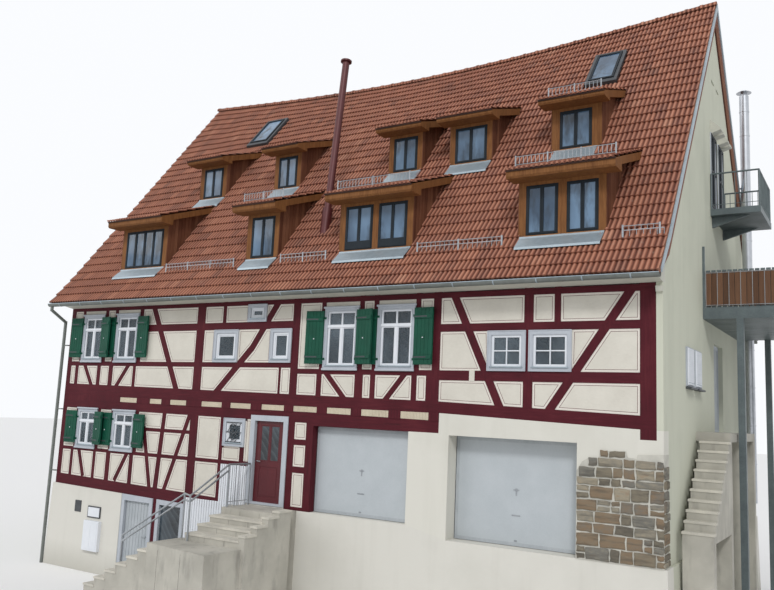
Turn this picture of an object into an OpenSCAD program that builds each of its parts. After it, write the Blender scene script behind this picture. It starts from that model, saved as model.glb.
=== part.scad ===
// Half-timbered house on a slope: masonry base, two timber-framed storeys,
// a steep tiled roof with two rows of shed dormers and a ridge that has sagged.
// Lengths are millimetres. u runs along the front from its left end, d runs into
// the house from the front face, and z is the height above the lowest ground.

/* [House] */
// Length of the timbered front
house_w = 16340; // [16200:10:17400]
// Depth of the house from front face to rear face
house_d = 11150; // [10200:10:12000]
// Thickness of the timber-framed walls, which is the depth of the posts
frame_t = 180; // [140:5:240]
// Thickness of the panels between the timbers
panel_t = 140; // [100:5:170]
// How far the panels lie behind the face of the timbers
panel_back = 12; // [4:1:20]
// Thickness of the gable walls
gable_t = 400; // [300:10:600]
// How far the gable plaster stands past the ends of the timber front
gable_out = 120; // [60:5:200]
// Thickness of the masonry base walls
base_t = 450; // [350:10:600]
// How far the foot of the base spreads sideways at the front corners
base_flare = 100; // [0:5:160]

/* [Levels] */
// Underside of the lower sill beam at the left end, which is the top of the base
base_h = 2190; // [2000:10:2400]
// Street level at the garages
street_h = 2040; // [1900:10:2100]
// Level of the entrance threshold
entrance_h = 2280; // [2200:10:2400]
// Underside of the upper floor beams
beam_h = 4380; // [4360:5:4390]
// Top of the upper floor boards
upper_h = 4760; // [4740:5:4800]
// Top of the top plate, which carries the rafters
plate_h = 7070; // [7040:5:7120]
// Top of the loft floor, where the upper dormers stand
loft_h = 9620; // [9500:10:9700]
// Thickness of a boarded floor
floor_t = 160; // [100:5:220]
// Thickness of the cellar floor
slab_t = 150; // [100:5:250]

/* [Roof] */
// Height of the ridge at the gables
ridge_h = 15070; // [14800:10:15400]
// Height of the roof above the top plate at the wall face
heel_h = 735; // [700:5:780]
// Overhang of the eaves in front of the wall
eaves_out = 510; // [350:10:700]
// Overhang of the roof past the left end of the front
verge_left = 370; // [200:10:500]
// Overhang of the roof past the right end of the front
verge_right = 200; // [150:10:400]
// Thickness of the roof, square to the slope
roof_t = 260; // [180:5:320]
// Sag of the ridge at the middle of the house
ridge_sag = 430; // [0:10:500]
// Distance below the ridge, in plan, at which the sag has run out
sag_reach = 1950; // [1600:10:2200]
// Rise of the eaves that the sprocket gives
kick_rise = 70; // [0:5:120]
// Thickness of the roof at the edge of the eaves, measured upright
eaves_edge = 60; // [40:5:80]
// Radius of the gutters
gutter_r = 75; // [60:5:90]
// Height of the fascia board under the rafters
fascia_h = 37; // [25:1:60]
// Thickness of the gutter sheet
gutter_t = 8; // [4:1:12]
// Radius of the downpipe
pipe_r = 45; // [35:1:55]

/* [Dormers] */
// Distance of the lower dormer fronts behind the front face
low_front = 233; // [150:1:400]
// Distance of the upper dormer fronts behind the front face
high_front = 2060; // [2000:1:2300]
// Height of the lower dormer front walls above the roof at their foot
low_wall = 1190; // [1000:10:1350]
// Height of the upper dormer front walls above the roof at their foot
high_wall = 1040; // [850:10:1150]
// Slope of the dormer roofs
dormer_pitch = 20; // [14:1:26]
// Overhang of the dormer roofs in front
dormer_out = 430; // [300:10:500]
// Overhang of the dormer roofs beside the cheeks
dormer_side = 180; // [80:10:260]
// Thickness of the dormer roofs, measured upright
dormer_roof_t = 165; // [120:5:220]
// Thickness of a dormer cheek
cheek_t = 110; // [80:5:160]
// Depth of a dormer front wall
dormer_wall_t = 120; // [90:5:160]
// Width of the posts of the dormer fronts
dormer_post = 150; // [110:5:180]

/* [Windows] */
// Width of the boards round a window
casing_w = 85; // [60:5:110]
// How far the casings stand in front of the timbers
casing_out = 25; // [10:1:40]
// Depth of a casing behind the face of the timbers
casing_in = 110; // [80:5:140]
// Thickness of the panes
glass_t = 24; // [12:1:40]
// Distance of the panes behind the face of the wall
glass_back = 45; // [35:1:60]
// Thickness of a shutter
shutter_t = 38; // [25:1:50]

/* [Timbers] */
// Width of the long braces
brace_w = 165; // [120:5:200]
// Width of the short braces under the windows
short_brace_w = 120; // [90:5:150]

/* [Entrance] */
// Left edge of the entrance frame
entrance_u = 6955; // [6900:5:7000]
// Width of the entrance frame
entrance_w = 1124; // [1100:2:1140]
// Width of the boards of the entrance frame
entrance_post = 130; // [100:5:150]
// Height of the entrance frame above the threshold
entrance_top = 2040; // [1960:10:2060]
// Thickness of the entrance door
door_t = 60; // [45:1:80]
// Running gap round the doors
door_gap = 10; // [8:1:14]
// Radius of the pivot pins of the doors
pin_r = 8; // [6:0.5:10]
// Clearance round a pivot pin
pin_clear = 0.3; // [0.2:0.05:0.5]
// Length of a pivot pin in its hole
pin_len = 30; // [20:1:40]

/* [Garages] */
// Left edge of the left garage opening
garage_left_u = 8790; // [8780:2:8810]
// Width of the left garage opening
garage_left_w = 2480; // [2400:10:2480]
// Head of the left garage opening
garage_left_top = 4140; // [4120:2:4144]
// Sill of the left garage opening
garage_left_foot = 2245; // [2220:5:2260]
// Left edge of the right garage opening
garage_right_u = 12219; // [12200:1:12240]
// Width of the right garage opening
garage_right_w = 2675; // [2600:5:2700]
// Head of the right garage opening
garage_right_top = 4109; // [4090:1:4120]
// Depth of the wall round the right garage opening
garage_wall_t = 370; // [320:5:420]
// Thickness of a garage door leaf
leaf_t = 45; // [35:1:60]
// Share of its height by which an open garage door stands outside
leaf_out = 0.45; // [0.4:0.01:0.5]

/* [Stairs] */
// Width of the entrance stair
stair_w = 1498; // [1400:10:1560]
// Depth of the landing at the entrance
landing_depth = 813; // [700:10:900]
// Going of the steps in front of the entrance
stair_going = 353; // [300:5:380]
// Rise of the steps in front of the entrance
stair_rise = 155; // [140:5:165]
// Going of the steps beside the lower landing
flank_going = 321; // [280:1:340]
// Rise of the steps beside the lower landing
flank_rise = 182; // [160:2:186]
// Height of the handrails above the steps
rail_h = 963; // [850:10:1050]
// Radius of the rail tubes
rail_r = 21; // [15:1:28]
// Width of the stair along the gable
gable_stair_w = 550; // [450:10:580]
// Depth at which the stair along the gable starts
gable_stair_d = 900; // [700:10:1000]
// Going of the stair along the gable
gable_going = 190; // [170:2:200]

/* [Balcony and terrace] */
// How far the balcony stands out from the gable
balcony_out = 1087; // [900:10:1300]
// Underside of the balcony slab
balcony_h = 9422; // [9300:10:9440]
// Depth at which the balcony starts
balcony_d = 4775; // [4500:10:4800]
// Length of the balcony along the gable
balcony_len = 1925; // [1800:10:2300]
// Height of the balcony rail above the slab
balcony_rail = 880; // [800:10:1000]
// How far the terrace stands out from the gable
terrace_out = 1740; // [1500:10:2000]
// Underside of the terrace
terrace_h = 6841; // [6700:10:6900]
// Thickness of the terrace
terrace_t = 250; // [180:10:300]
// Depth at which the terrace starts
terrace_d = 3700; // [3500:10:3900]
// Length of the terrace along the gable
terrace_len = 4750; // [4300:10:4760]
// Height of the terrace rail above its floor
terrace_rail = 830; // [750:10:950]

/* [Flues] */
// Radius of the steel flue beside the gable
steel_flue_r = 125; // [90:5:130]
// Top of the steel flue
steel_flue_h = 13920; // [13000:10:14400]
// Radius of the red flue above its collar
red_flue_r = 90; // [70:5:110]
// Radius of the red flue below its collar
red_flue_foot_r = 125; // [110:5:150]
// Height of the top of the red flue
red_flue_h = 13500; // [12800:10:13900]

/* [Hidden] */
$fn = 32;
eps = 1;
seat = 0.3;
timber = "#5c1520";
plaster = "#ece6d6";
gable_plaster = "#e9e5d4";
masonry = "#e8e4dc";
tile = "#9c4a32";
zinc = "#8d979d";

// Roof lines, as heights over the distance behind the front face
pitch_run = house_d / 2;
roof_slope = (ridge_h - plate_h - heel_h) / pitch_run;
function roof_line(d) = ridge_h - abs(pitch_run - d) * roof_slope;
roof_v = roof_t * sqrt(1 + roof_slope * roof_slope);
kick_d = 170;
eaves_z = roof_line(-eaves_out) + kick_rise;
function roof_top(d) = d >= kick_d ? roof_line(d)
    : roof_line(kick_d) + (eaves_z - roof_line(kick_d)) * (kick_d - d) / (kick_d + eaves_out);
function roof_depth(d) = d >= kick_d ? roof_v
    : eaves_edge + (roof_v - eaves_edge) * (d + eaves_out) / (kick_d + eaves_out);
function roof_under(d) = roof_top(d) - roof_depth(d);
roof_u0 = -verge_left;
roof_u1 = house_w + verge_right;
function sag_at(u) = ridge_sag * sin(180 * (u - roof_u0) / (roof_u1 - roof_u0));
// Height of the sagging surface
function roof_surface(u, d) = roof_line(d) - sag_at(u) * max(0, 1 - (pitch_run - d) / sag_reach);

// Everything is drawn from the front left corner and set about the middle of the house
module place() translate([-house_w / 2, -house_d / 2, 0]) children();
// Flat outlines in u and z, given a depth from d0 to d1
module wall_slice(d0, d1) translate([0, d1, 0]) rotate([90, 0, 0]) linear_extrude(d1 - d0) children();
// Outlines in d and z, given a length from u0 to u1
module cross_slice(u0, u1) translate([u0, 0, 0]) rotate([90, 0, 90]) linear_extrude(u1 - u0) children();
// The rear face, seen from behind, with its own u from its left end
module from_rear() translate([house_w, house_d, 0]) rotate(180) children();
module box_at(u0, u1, d0, d1, z0, z1) translate([u0, d0, z0]) cube([u1 - u0, d1 - d0, z1 - z0]);
module rect(u0, u1, z0, z1) translate([u0, z0]) square([u1 - u0, z1 - z0]);
// A straight timber of width w along the line from a to b
module bar(a, b, w) {
    dir = (b - a) / norm(b - a);
    side = [-dir[1], dir[0]] * w / 2;
    polygon([a - side, b - side, b + side, a + side]);
}

// Ends of the walls and where the sill of the timber frame runs
left_end = -60;
right_end = house_w + gable_out;
left_in = left_end + gable_t;
right_in = right_end - gable_t;
garage_left_end = garage_left_u + garage_left_w;
garage_right_end = garage_right_u + garage_right_w;
entrance_end = entrance_u + entrance_w;
corner_post_w = 290;
lower_sill_end = 6356;
lower_sill_drop = 155;
function lower_sill(u) = base_h - lower_sill_drop * (u - left_end) / (lower_sill_end - left_end);
function under_sill(u) = lower_sill(u) - seat;
upper_sill_right = 4400;
upper_post_foot = 4640;

// Timber frame of the front, as flat outlines
lower_plate_end = 11984;
// The lower plate is two timbers, which meet over the post beside the left garage door
plate_joint = 8650;
lower_plate_top = 4494;
sill_top = [[left_end, 4943], [lower_plate_end, 4783], [house_w - corner_post_w, 4655], [house_w, 4645]];
sill_foot = [[house_w, upper_sill_right], [house_w - corner_post_w, 4408], [lower_plate_end, 4548],
    [left_end, 4622]];
module plates_2d() {
    polygon([[left_end, plate_h - 90], [house_w, plate_h - 150], [house_w, plate_h - 20],
        [left_end, plate_h]]);
    polygon(concat(sill_top, sill_foot));
    polygon([[left_end, lower_plate_top], [plate_joint, 4440], [lower_plate_end, 4387],
        [lower_plate_end, garage_left_top], [garage_left_u, garage_left_top], [plate_joint, 4200],
        [left_end, 4280]]);
    polygon([[left_end, base_h + 270], [lower_sill_end, base_h + 110],
        [lower_sill_end, lower_sill(lower_sill_end)], [left_end, base_h]]);
}

// Windows of the front: left, right, foot, head
small_windows = [[5564, 6367, 5564, 6367], [6634, 7223, 6548, 6975], [7383, 8025, 5564, 6367],
    [13033, 13850, 5425, 6227], [13915, 14777, 5425, 6227], [6099, 6773, 3552, 4215]];
shutter_windows = [[535, 1391, 5564, 6848], [1905, 2782, 5564, 6848], [8967, 9898, 5425, 6816],
    [10400, 11342, 5425, 6816], [642, 1445, 3210, 4265], [2087, 2943, 3210, 4255]];
front_windows = concat(small_windows, shutter_windows);
module windows_2d() for (w = front_windows) rect(w[0], w[1], w[2], w[3]);
module doors_2d() {
    rect(entrance_u, entrance_end, entrance_h - eps, entrance_h + entrance_top);
}

// Main posts: left, right, foot, head
main_posts = [[left_end, 107, base_h, plate_h], [4922, 5200, upper_post_foot, plate_h],
    [8025, 8239, upper_post_foot, plate_h], [11770, 11952, upper_post_foot, plate_h],
    [13803, 13996, 4500, plate_h], [house_w - corner_post_w, house_w, 4227, plate_h],
    [4943, 5211, 2200, 4400], [5971, 6078, 2200, 4400], [entrance_end, 8260, garage_left_foot, 4400],
    [8592, garage_left_u, garage_left_foot, 4400]];
// Short posts between rails, and the posts beside the shuttered windows
short_posts = [[5799, 5906, 6400, plate_h], [14424, 14552, 6300, plate_h], [7683, 7745, 4700, 5500],
    [300, 428, 4800, 5500], [1231, 1370, 4800, 5500], [1712, 1873, 4800, 5500], [2675, 2782, 4800, 5500],
    [8795, 8935, 4700, 5400], [9844, 10058, 4700, 5400], [10251, 10379, 4700, 5400],
    [11289, 11417, 4700, 5400], [11642, 11770, 4700, 5400],
    [449, 556, 2300, 3150], [1391, 1498, 2300, 3150], [1926, 2087, 2300, 3150], [2836, 2975, 2300, 3150],
    [6640, 6773, 3150, 3560]];
jamb_posts = [[428, 535, 5500, plate_h], [1391, 1510, 5500, plate_h], [1786, 1905, 5500, plate_h],
    [2782, 2920, 5500, plate_h], [8850, 8967, 5400, plate_h], [9898, 10020, 5400, plate_h],
    [10278, 10400, 5400, plate_h], [11342, 11460, 5400, plate_h],
    [535, 642, 3150, 4400], [1445, 1550, 3150, 4400], [1980, 2087, 3150, 4400], [2943, 3060, 3150, 4400]];
cellar_post = [3873, 4013];
module posts_2d() {
    for (p = concat(main_posts, short_posts, jamb_posts)) rect(p[0], p[1], p[2], p[3]);
    polygon([[3799, 2300], [3959, 2300], [4087, 4400], [3959, 4400]]);
}
brace_head = plate_h + 30;
brace_foot = upper_h + 20;
module braces_2d() difference() {
    union() {
        bar([3260, brace_head], [4390, brace_foot], brace_w);
        bar([7620, brace_head], [6795, 5885], brace_w);
        bar([6830, 5935], [5690, brace_foot], brace_w);
        bar([12200, brace_head], [13390, upper_sill_right + 160], brace_w);
        bar([house_w - 350, brace_head], [house_w - 2100, upper_sill_right + 140], brace_w);
        bar([663, 5511], [1057, 4880], short_brace_w);
        bar([2515, 5511], [2047, 4880], short_brace_w);
        bar([9042, 5350], [9617, 4740], short_brace_w);
        bar([11128, 5350], [10607, 4720], short_brace_w);
        bar([783, 3160], [1048, 2440], short_brace_w);
        bar([2735, 3160], [2324, 2420], short_brace_w);
        bar([3290, 3880], [3669, 2350], short_brace_w);
        bar([4960, 4380], [4197, 2330], short_brace_w);
    }
    rect(left_end, right_end, plate_h - 40, plate_h + 100);
}
rails = [[107, 8025, 5446, 5564], [8239, 11770, 5310, 5425], [2920, 8025, 6367, 6548],
    [11952, house_w - corner_post_w, 5222, 5425], [11952, house_w - corner_post_w, 6227, 6388],
    [107, 6773, 3124, 3210], [3060, 4943, 3766, 3852],
    [8260, 8592, 3692, 3820], [8260, 8592, 3071, 3210], [8260, 8592, garage_left_foot, 2322]];
module rails_2d() for (r = rails) rect(r[0], r[1], r[2], r[3]);

// Beam ends that carry the upper floor: left and right edges
beam_ends = [[1850, 2300], [2943, 3445], [3874, 4194], [4762, 5297], [5971, 6260], [6902, 7244],
    [7918, 8196], [8860, 9149], [9791, 10069], [10764, 11064], [11738, 11984]];
module beam_ends_2d() for (b = beam_ends) rect(b[0], b[1], beam_h, upper_post_foot);
module timbers_2d() {
    plates_2d();
    posts_2d();
    braces_2d();
    rails_2d();
}
module panel_field_2d() {
    difference() {
        union() {
            rect(left_end, lower_plate_end, base_h, plate_h - 20);
            rect(lower_plate_end - eps, house_w, upper_sill_right, plate_h - 20);
        }
        polygon([[lower_sill_end, base_h - eps], [lower_sill_end, entrance_h], [garage_left_u, entrance_h],
            [garage_left_u, garage_left_top], [lower_plate_end, garage_left_top], [lower_plate_end, 4548],
            [house_w - corner_post_w, 4408], [house_w + eps, upper_sill_right],
            [house_w + eps, base_h - eps]]);
    }
}

module front_plates() place() color(timber) wall_slice(0, frame_t) difference() {
    plates_2d();
    windows_2d();
    doors_2d();
    rect(plate_joint, plate_joint + seat, garage_left_top - eps, lower_plate_top);
}
module front_posts() place() color(timber) {
    wall_slice(0, frame_t) difference() {
        posts_2d();
        plates_2d();
        windows_2d();
    }
    wall_slice(0, frame_t) polygon([[cellar_post[0], slab_t], [cellar_post[1], slab_t],
        [cellar_post[1], under_sill(cellar_post[1])], [cellar_post[0], under_sill(cellar_post[0])]]);
}
module front_braces() place() color(timber) wall_slice(0, frame_t) difference() {
    braces_2d();
    plates_2d();
    posts_2d();
    windows_2d();
}
module front_rails() place() color(timber) wall_slice(0, frame_t) difference() {
    rails_2d();
    plates_2d();
    posts_2d();
    braces_2d();
    windows_2d();
}
module front_panels() place() color(plaster) {
    wall_slice(panel_back, panel_back + panel_t) difference() {
        panel_field_2d();
        timbers_2d();
        windows_2d();
        doors_2d();
        beam_ends_2d();
    }
}

// Masonry base under the left end, and under the entrance and the garages
cellar_left = 2729;
cellar_right = 6420;
base_out = 50;
module base_wall_front() place() color(masonry) {
    wall_slice(-40, base_t) polygon([[left_end - base_out - base_flare, 0], [cellar_left, 0],
        [cellar_left, under_sill(cellar_left)], [left_end, base_h - seat],
        [left_end - base_out, base_h - seat]]);
    wall_slice(0, base_t) polygon([[cellar_right, 0], [right_end + base_flare, 0],
        [right_end + base_out, street_h], [garage_right_u, street_h], [garage_left_end, garage_left_foot],
        [entrance_end, garage_left_foot], [entrance_end, entrance_h], [cellar_right, entrance_h]]);
}
rubble_top = [[garage_right_end, 3600], [15000, 3780], [15150, 3870], [15300, 3830], [15330, 3990],
    [15800, 4010], [15830, 3900], [15990, 3890], [16010, 3960], [right_end, 3985]];
module rubble_2d() polygon(concat([[right_end, street_h], [garage_right_end, street_h]], rubble_top));
module rubble_corner() place() color("#8d7f6c") wall_slice(-15, garage_wall_t) rubble_2d();
module above_sill_2d() polygon(concat(sill_foot, [[left_end, plate_h], [right_end + eps, plate_h],
    [right_end + eps, upper_sill_right]]));
module garage_piers() place() color(masonry) wall_slice(0, garage_wall_t) {
    polygon([[garage_left_end, garage_left_foot], [garage_right_u, street_h],
        [garage_right_u, garage_right_top], [garage_left_end, garage_right_top]]);
    difference() {
        rect(garage_right_end, right_end, 3500, upper_post_foot);
        rubble_2d();
        above_sill_2d();
        posts_2d();
    }
}
module garage_lintel() place() color(masonry) wall_slice(0, garage_wall_t) difference() {
    rect(garage_left_end, garage_right_end, garage_right_top, upper_post_foot);
    above_sill_2d();
    rect(garage_left_end - eps, lower_plate_end, garage_left_top, upper_post_foot);
}

// Floors, each between the walls that carry it
inner_d0 = frame_t;
inner_d1 = house_d - frame_t;
entrance_floor = entrance_h;
rear_base_top = beam_h;
loft_half = (ridge_h - roof_v - loft_h) / roof_slope;
// Door in the right gable: its edges in d, threshold and head
gable_door_d = 4931;
gable_door_w = 1150;
gable_door_z = upper_sill_right;
gable_door_top = 6430;
gable_door_end = gable_door_d + gable_door_w;
// The lobby behind the gable door lies lower than the upper floor
lobby_u = right_in - gable_door_w - 50;
lobby_step = 260;
lobby_d0 = gable_door_d - 60;
lobby_d1 = gable_door_end + 60;
module floors() place() color("#b08d62") {
    color("#9a958c") {
        box_at(left_in, right_in, base_t, house_d - base_t, 0, slab_t);
        box_at(cellar_left, cellar_right, 0, base_t + eps, 0, slab_t);
    }
    difference() {
        box_at(left_in, garage_left_u - 100, inner_d0, house_d - base_t, entrance_floor - floor_t,
            entrance_floor);
        box_at(left_in - eps, cellar_left, 0, base_t, 0, plate_h);
        box_at(cellar_right, garage_left_u, 0, base_t, 0, plate_h);
    }
    box_at(garage_left_u - 100, right_in, base_t, house_d - base_t, street_h - floor_t, street_h);
    difference() {
        box_at(left_in, right_in, inner_d0, inner_d1, upper_h - floor_t, upper_h);
        box_at(lobby_u, right_in + eps, lobby_d0, lobby_d1, upper_h - 2 * floor_t, upper_h + eps);
    }
    difference() {
        box_at(lobby_u - floor_t, right_in, lobby_d0 - floor_t, lobby_d1 + floor_t, gable_door_z - floor_t,
            upper_h - floor_t + eps);
        box_at(lobby_u + lobby_step, right_in + eps, lobby_d0, lobby_d1, gable_door_z, upper_h);
        box_at(lobby_u, lobby_u + lobby_step + eps, lobby_d0, lobby_d1, (gable_door_z + upper_h) / 2, upper_h);
    }
    box_at(left_in, right_in, inner_d0, inner_d1, plate_h - 70 - floor_t, plate_h - 70);
    box_at(left_in, right_in, pitch_run - loft_half, pitch_run + loft_half, loft_h - floor_t, loft_h);
}
module floor_beams() place() color("#6b4a2e") {
    for (b = beam_ends) box_at(b[0], b[1], frame_t, inner_d1, beam_h, upper_h - floor_t);
    wall_slice(panel_back, frame_t) difference() {
        beam_ends_2d();
        plates_2d();
    }
}

// Gable walls, as outlines in d and z up to the underside of the sagging roof
sag_d = pitch_run - sag_reach;
function gable_peak(u) = roof_under(pitch_run) - sag_at(u);
module gable_head_2d(z0, peak) polygon([[inner_d0, z0], [inner_d1, z0],
    [inner_d1, roof_under(inner_d0) - seat], [house_d - sag_d, roof_under(sag_d) - seat],
    [pitch_run, peak - seat], [sag_d, roof_under(sag_d) - seat], [inner_d0, roof_under(inner_d0) - seat]]);
gable_windows = [[2000, 2900, 3150, 4250], [7900, 8800, 3150, 4250], [2000, 2900, 5600, 6800],
    [7900, 8800, 5600, 6800], [3300, 4200, 7900, 9100], [6950, 7850, 7900, 9100], [5125, 6025, 10500, 11600]];
module windows_dz(list) for (w = list) rect(w[0], w[1], w[2], w[3]);
module left_gable_wall() place() color(gable_plaster) {
    cross_slice(left_end, left_in) difference() {
        union() {
            rect(base_t, house_d - base_t, 0, base_h + eps);
            rect(inner_d0, house_d - base_t, base_h, rear_base_top + eps);
            gable_head_2d(rear_base_top, gable_peak(left_in));
        }
        windows_dz(gable_windows);
    }
    wall_slice(base_t, house_d - base_t) polygon([[left_end - base_out - base_flare, 0], [left_end + eps, 0],
        [left_end + eps, base_h], [left_end - base_out, base_h]]);
}
small_gable_windows = [[1871, 2480, 5290, 6070], [2650, 3290, 5290, 6070]];
balcony_door_top = 11500;
balcony_doors = [[4860, 5580, loft_h + 20, balcony_door_top], [5820, 6540, loft_h + 20, balcony_door_top]];
vent_z = loft_h + 0.5945 * (ridge_h - loft_h);
vents = [[5121, 5500, vent_z, vent_z + 70], [5760, 6140, vent_z, vent_z + 70]];
module right_gable_base() place() color(gable_plaster) {
    cross_slice(right_in, right_end) {
        rect(base_t, house_d - base_t, 0, street_h + eps);
        rect(garage_wall_t, house_d - base_t, street_h, gable_door_z);
    }
    wall_slice(base_t, house_d - base_t) polygon([[right_end - eps, 0], [right_end + base_flare, 0],
        [right_end + base_out, street_h], [right_end - eps, street_h]]);
}
module right_gable_piers() place() color(gable_plaster) {
    cross_slice(right_in, right_end) difference() {
        rect(inner_d0, gable_door_d, gable_door_z, gable_door_top);
        windows_dz(small_gable_windows);
    }
    box_at(house_w, right_end, 0, inner_d0 + eps, gable_door_z, gable_door_top);
    cross_slice(right_in, right_end) rect(gable_door_end, inner_d1, gable_door_z, gable_door_top);
}
module right_gable_upper() place() color(gable_plaster) {
    cross_slice(right_in, right_end) difference() {
        gable_head_2d(gable_door_top, gable_peak(right_in));
        windows_dz(concat(balcony_doors, vents));
    }
    box_at(house_w, right_end, 0, inner_d0 + eps, gable_door_top, plate_h);
}

// Rear: a plastered lower storey and a timber-framed upper one
rear_low_windows = [[1900, 2900, 3150, 4200], [5200, 6200, 3150, 4200], [9900, 10900, 3150, 4200],
    [13300, 14300, 3150, 4200]];
rear_high_windows = [[1700, 2600, 5560, 6830], [4700, 5600, 5560, 6830], [7750, 8650, 5560, 6830],
    [10750, 11650, 5560, 6830], [13750, 14650, 5560, 6830]];
rear_posts = [-gable_out, 1560, 2600, 4560, 5600, 7610, 8650, 10610, 11650, 13610, 14650, house_w - 80];
rear_post_w = 140;
rear_sill_h = 280;
rear_left = -gable_out;
rear_right = house_w - left_end;
module rear_windows_2d(list) for (w = list) rect(w[0], w[1], w[2], w[3]);
module rear_base_wall() place() from_rear() color(masonry) wall_slice(0, base_t) difference() {
    polygon([[rear_left - base_flare, 0], [rear_right + base_out + base_flare, 0],
        [rear_right + base_out, base_h], [rear_right, base_h], [rear_right, rear_base_top],
        [rear_left, rear_base_top], [rear_left, street_h], [rear_left - base_out, street_h]]);
    rear_windows_2d(rear_low_windows);
}
module rear_timbers_2d() difference() {
    union() {
        rect(rear_left, rear_right, rear_base_top, rear_base_top + rear_sill_h);
        rect(rear_left, rear_right, plate_h - 130, plate_h);
        rect(rear_left, rear_right, 5420, 5560);
        for (u = rear_posts) rect(u, u + rear_post_w, rear_base_top + eps, plate_h - eps);
        bar([200, plate_h - 60], [1500, upper_post_foot], brace_w);
        bar([house_w - 200, plate_h - 60], [house_w - 1500, upper_post_foot], brace_w);
        bar([6000, plate_h - 60], [7350, upper_post_foot], brace_w);
        bar([9000, upper_post_foot], [10350, plate_h - 60], brace_w);
    }
    rear_windows_2d(rear_high_windows);
}
module rear_timbers() place() from_rear() color(timber) wall_slice(0, frame_t) rear_timbers_2d();
module rear_panels() place() from_rear() color(plaster)
    wall_slice(panel_back, panel_back + panel_t) difference() {
        rect(rear_left, rear_right, rear_base_top, plate_h - 60);
        rear_timbers_2d();
        rear_windows_2d(rear_high_windows);
    }

// Boxed eaves from the top plate up to the rafters, with the gutters in front of them
fascia_d = -eaves_out + 40;
fascia_z = round(roof_under(fascia_d) - fascia_h);
module eaves_box_2d() polygon([[fascia_d, fascia_z], [0, plate_h], [frame_t, plate_h],
    [frame_t, roof_under(frame_t) - seat], [kick_d, roof_under(kick_d) - seat],
    [fascia_d, roof_under(fascia_d) - seat]]);
module eaves_boxes() place() color("#d9d5c8") {
    cross_slice(left_end, right_end) eaves_box_2d();
    from_rear() cross_slice(rear_left, rear_right) eaves_box_2d();
}
module gutter(u0, u1) cross_slice(u0, u1) translate([fascia_d - gutter_r, fascia_z]) {
    difference() {
        circle(gutter_r);
        circle(gutter_r - gutter_t);
        translate([-2 * gutter_r, 0]) square([4 * gutter_r, 2 * gutter_r]);
    }
    translate([gutter_r - gutter_t, -eps]) square([gutter_t, 30]);
}
module tube(a, b, r) {
    along = b - a;
    length = norm(along);
    translate(a) rotate([0, acos(along[2] / length), atan2(along[1], along[0])])
        cylinder(h = length, r = r, $fn = 8);
}
pipe_u = left_end - base_out - base_flare - pipe_r - 10;
pipe_clip_levels = [2500, 4200, 6000];
module downpipe() {
    top = [pipe_u, fascia_d - gutter_r, fascia_z - gutter_r + gutter_t];
    neck = [pipe_u, -50, plate_h - 420];
    tube(top, top - [0, 0, 130], pipe_r);
    tube(top - [0, 0, 100], neck + [0, 0, 30], pipe_r);
    tube(neck + [0, 0, 60], [pipe_u, -50, 0], pipe_r);
    for (z = pipe_clip_levels) box_at(pipe_u, left_end, -65, 0, z, z + 30);
}
module gutters() place() color(zinc) {
    gutter(roof_u0, roof_u1);
    from_rear() gutter(-verge_right, house_w + verge_left);
    downpipe();
}

// Roof slopes: sections along the length, with the ridge sagging between the gables
roof_steps = 12;
roof_rows = [-eaves_out, kick_d, sag_d, pitch_run];
function roof_point(u, sag, k) = let (d = roof_rows[k % 4], low = k < 4 ? 0 : roof_depth(d))
    [u, d, roof_top(d) - low - (k % 4 == 3 ? sag : 0)];
module roof_slope_solid(u0, u1) {
    points = [for (i = [0:roof_steps], k = [0:7])
        roof_point(u0 + (u1 - u0) * i / roof_steps, ridge_sag * sin(180 * i / roof_steps), k)];
    ring = [0, 1, 2, 3, 7, 6, 5, 4];
    // The diagonals turn at the middle, so that both halves bend towards the gables
    sides = [for (i = [0:roof_steps - 1], j = [0:7])
        let (a = 8 * i + ring[j], b = 8 * i + ring[(j + 1) % 8], first = i < roof_steps / 2,
            outward = (j == 2 || j == 3) ? (j == 2) == first : (j == 4 ? !first : first))
        each outward ? [[a, b, a + 8], [b, b + 8, a + 8]] : [[a, b, b + 8], [a, b + 8, a + 8]]];
    ends = [[0, 4, 5, 1], [1, 5, 6, 2], [2, 6, 7, 3]];
    last = 8 * roof_steps;
    polyhedron(points, concat(sides, [for (f = ends) f], [for (f = ends) [for (k = [3:-1:0]) f[k] + last]]));
}
front_skylights = [[2889, 3563, 3816, 4533], [13846, 14477, 3816, 4533]];
skylight_deep = 100;
skylight_up = 35;
skylight_edge = 60;
module skylight_box(s, inset, z0, z1) {
    u_mid = (s[0] + s[1]) / 2;
    rise = roof_surface(u_mid, s[3]) - roof_surface(u_mid, s[2]);
    run = s[3] - s[2];
    translate([s[0] + inset, s[2], roof_surface(u_mid, s[2])]) rotate([atan2(rise, run), 0, 0])
        translate([0, inset, z0]) cube([s[1] - s[0] - 2 * inset, norm([rise, run]) - 2 * inset, z1 - z0]);
}

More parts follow.
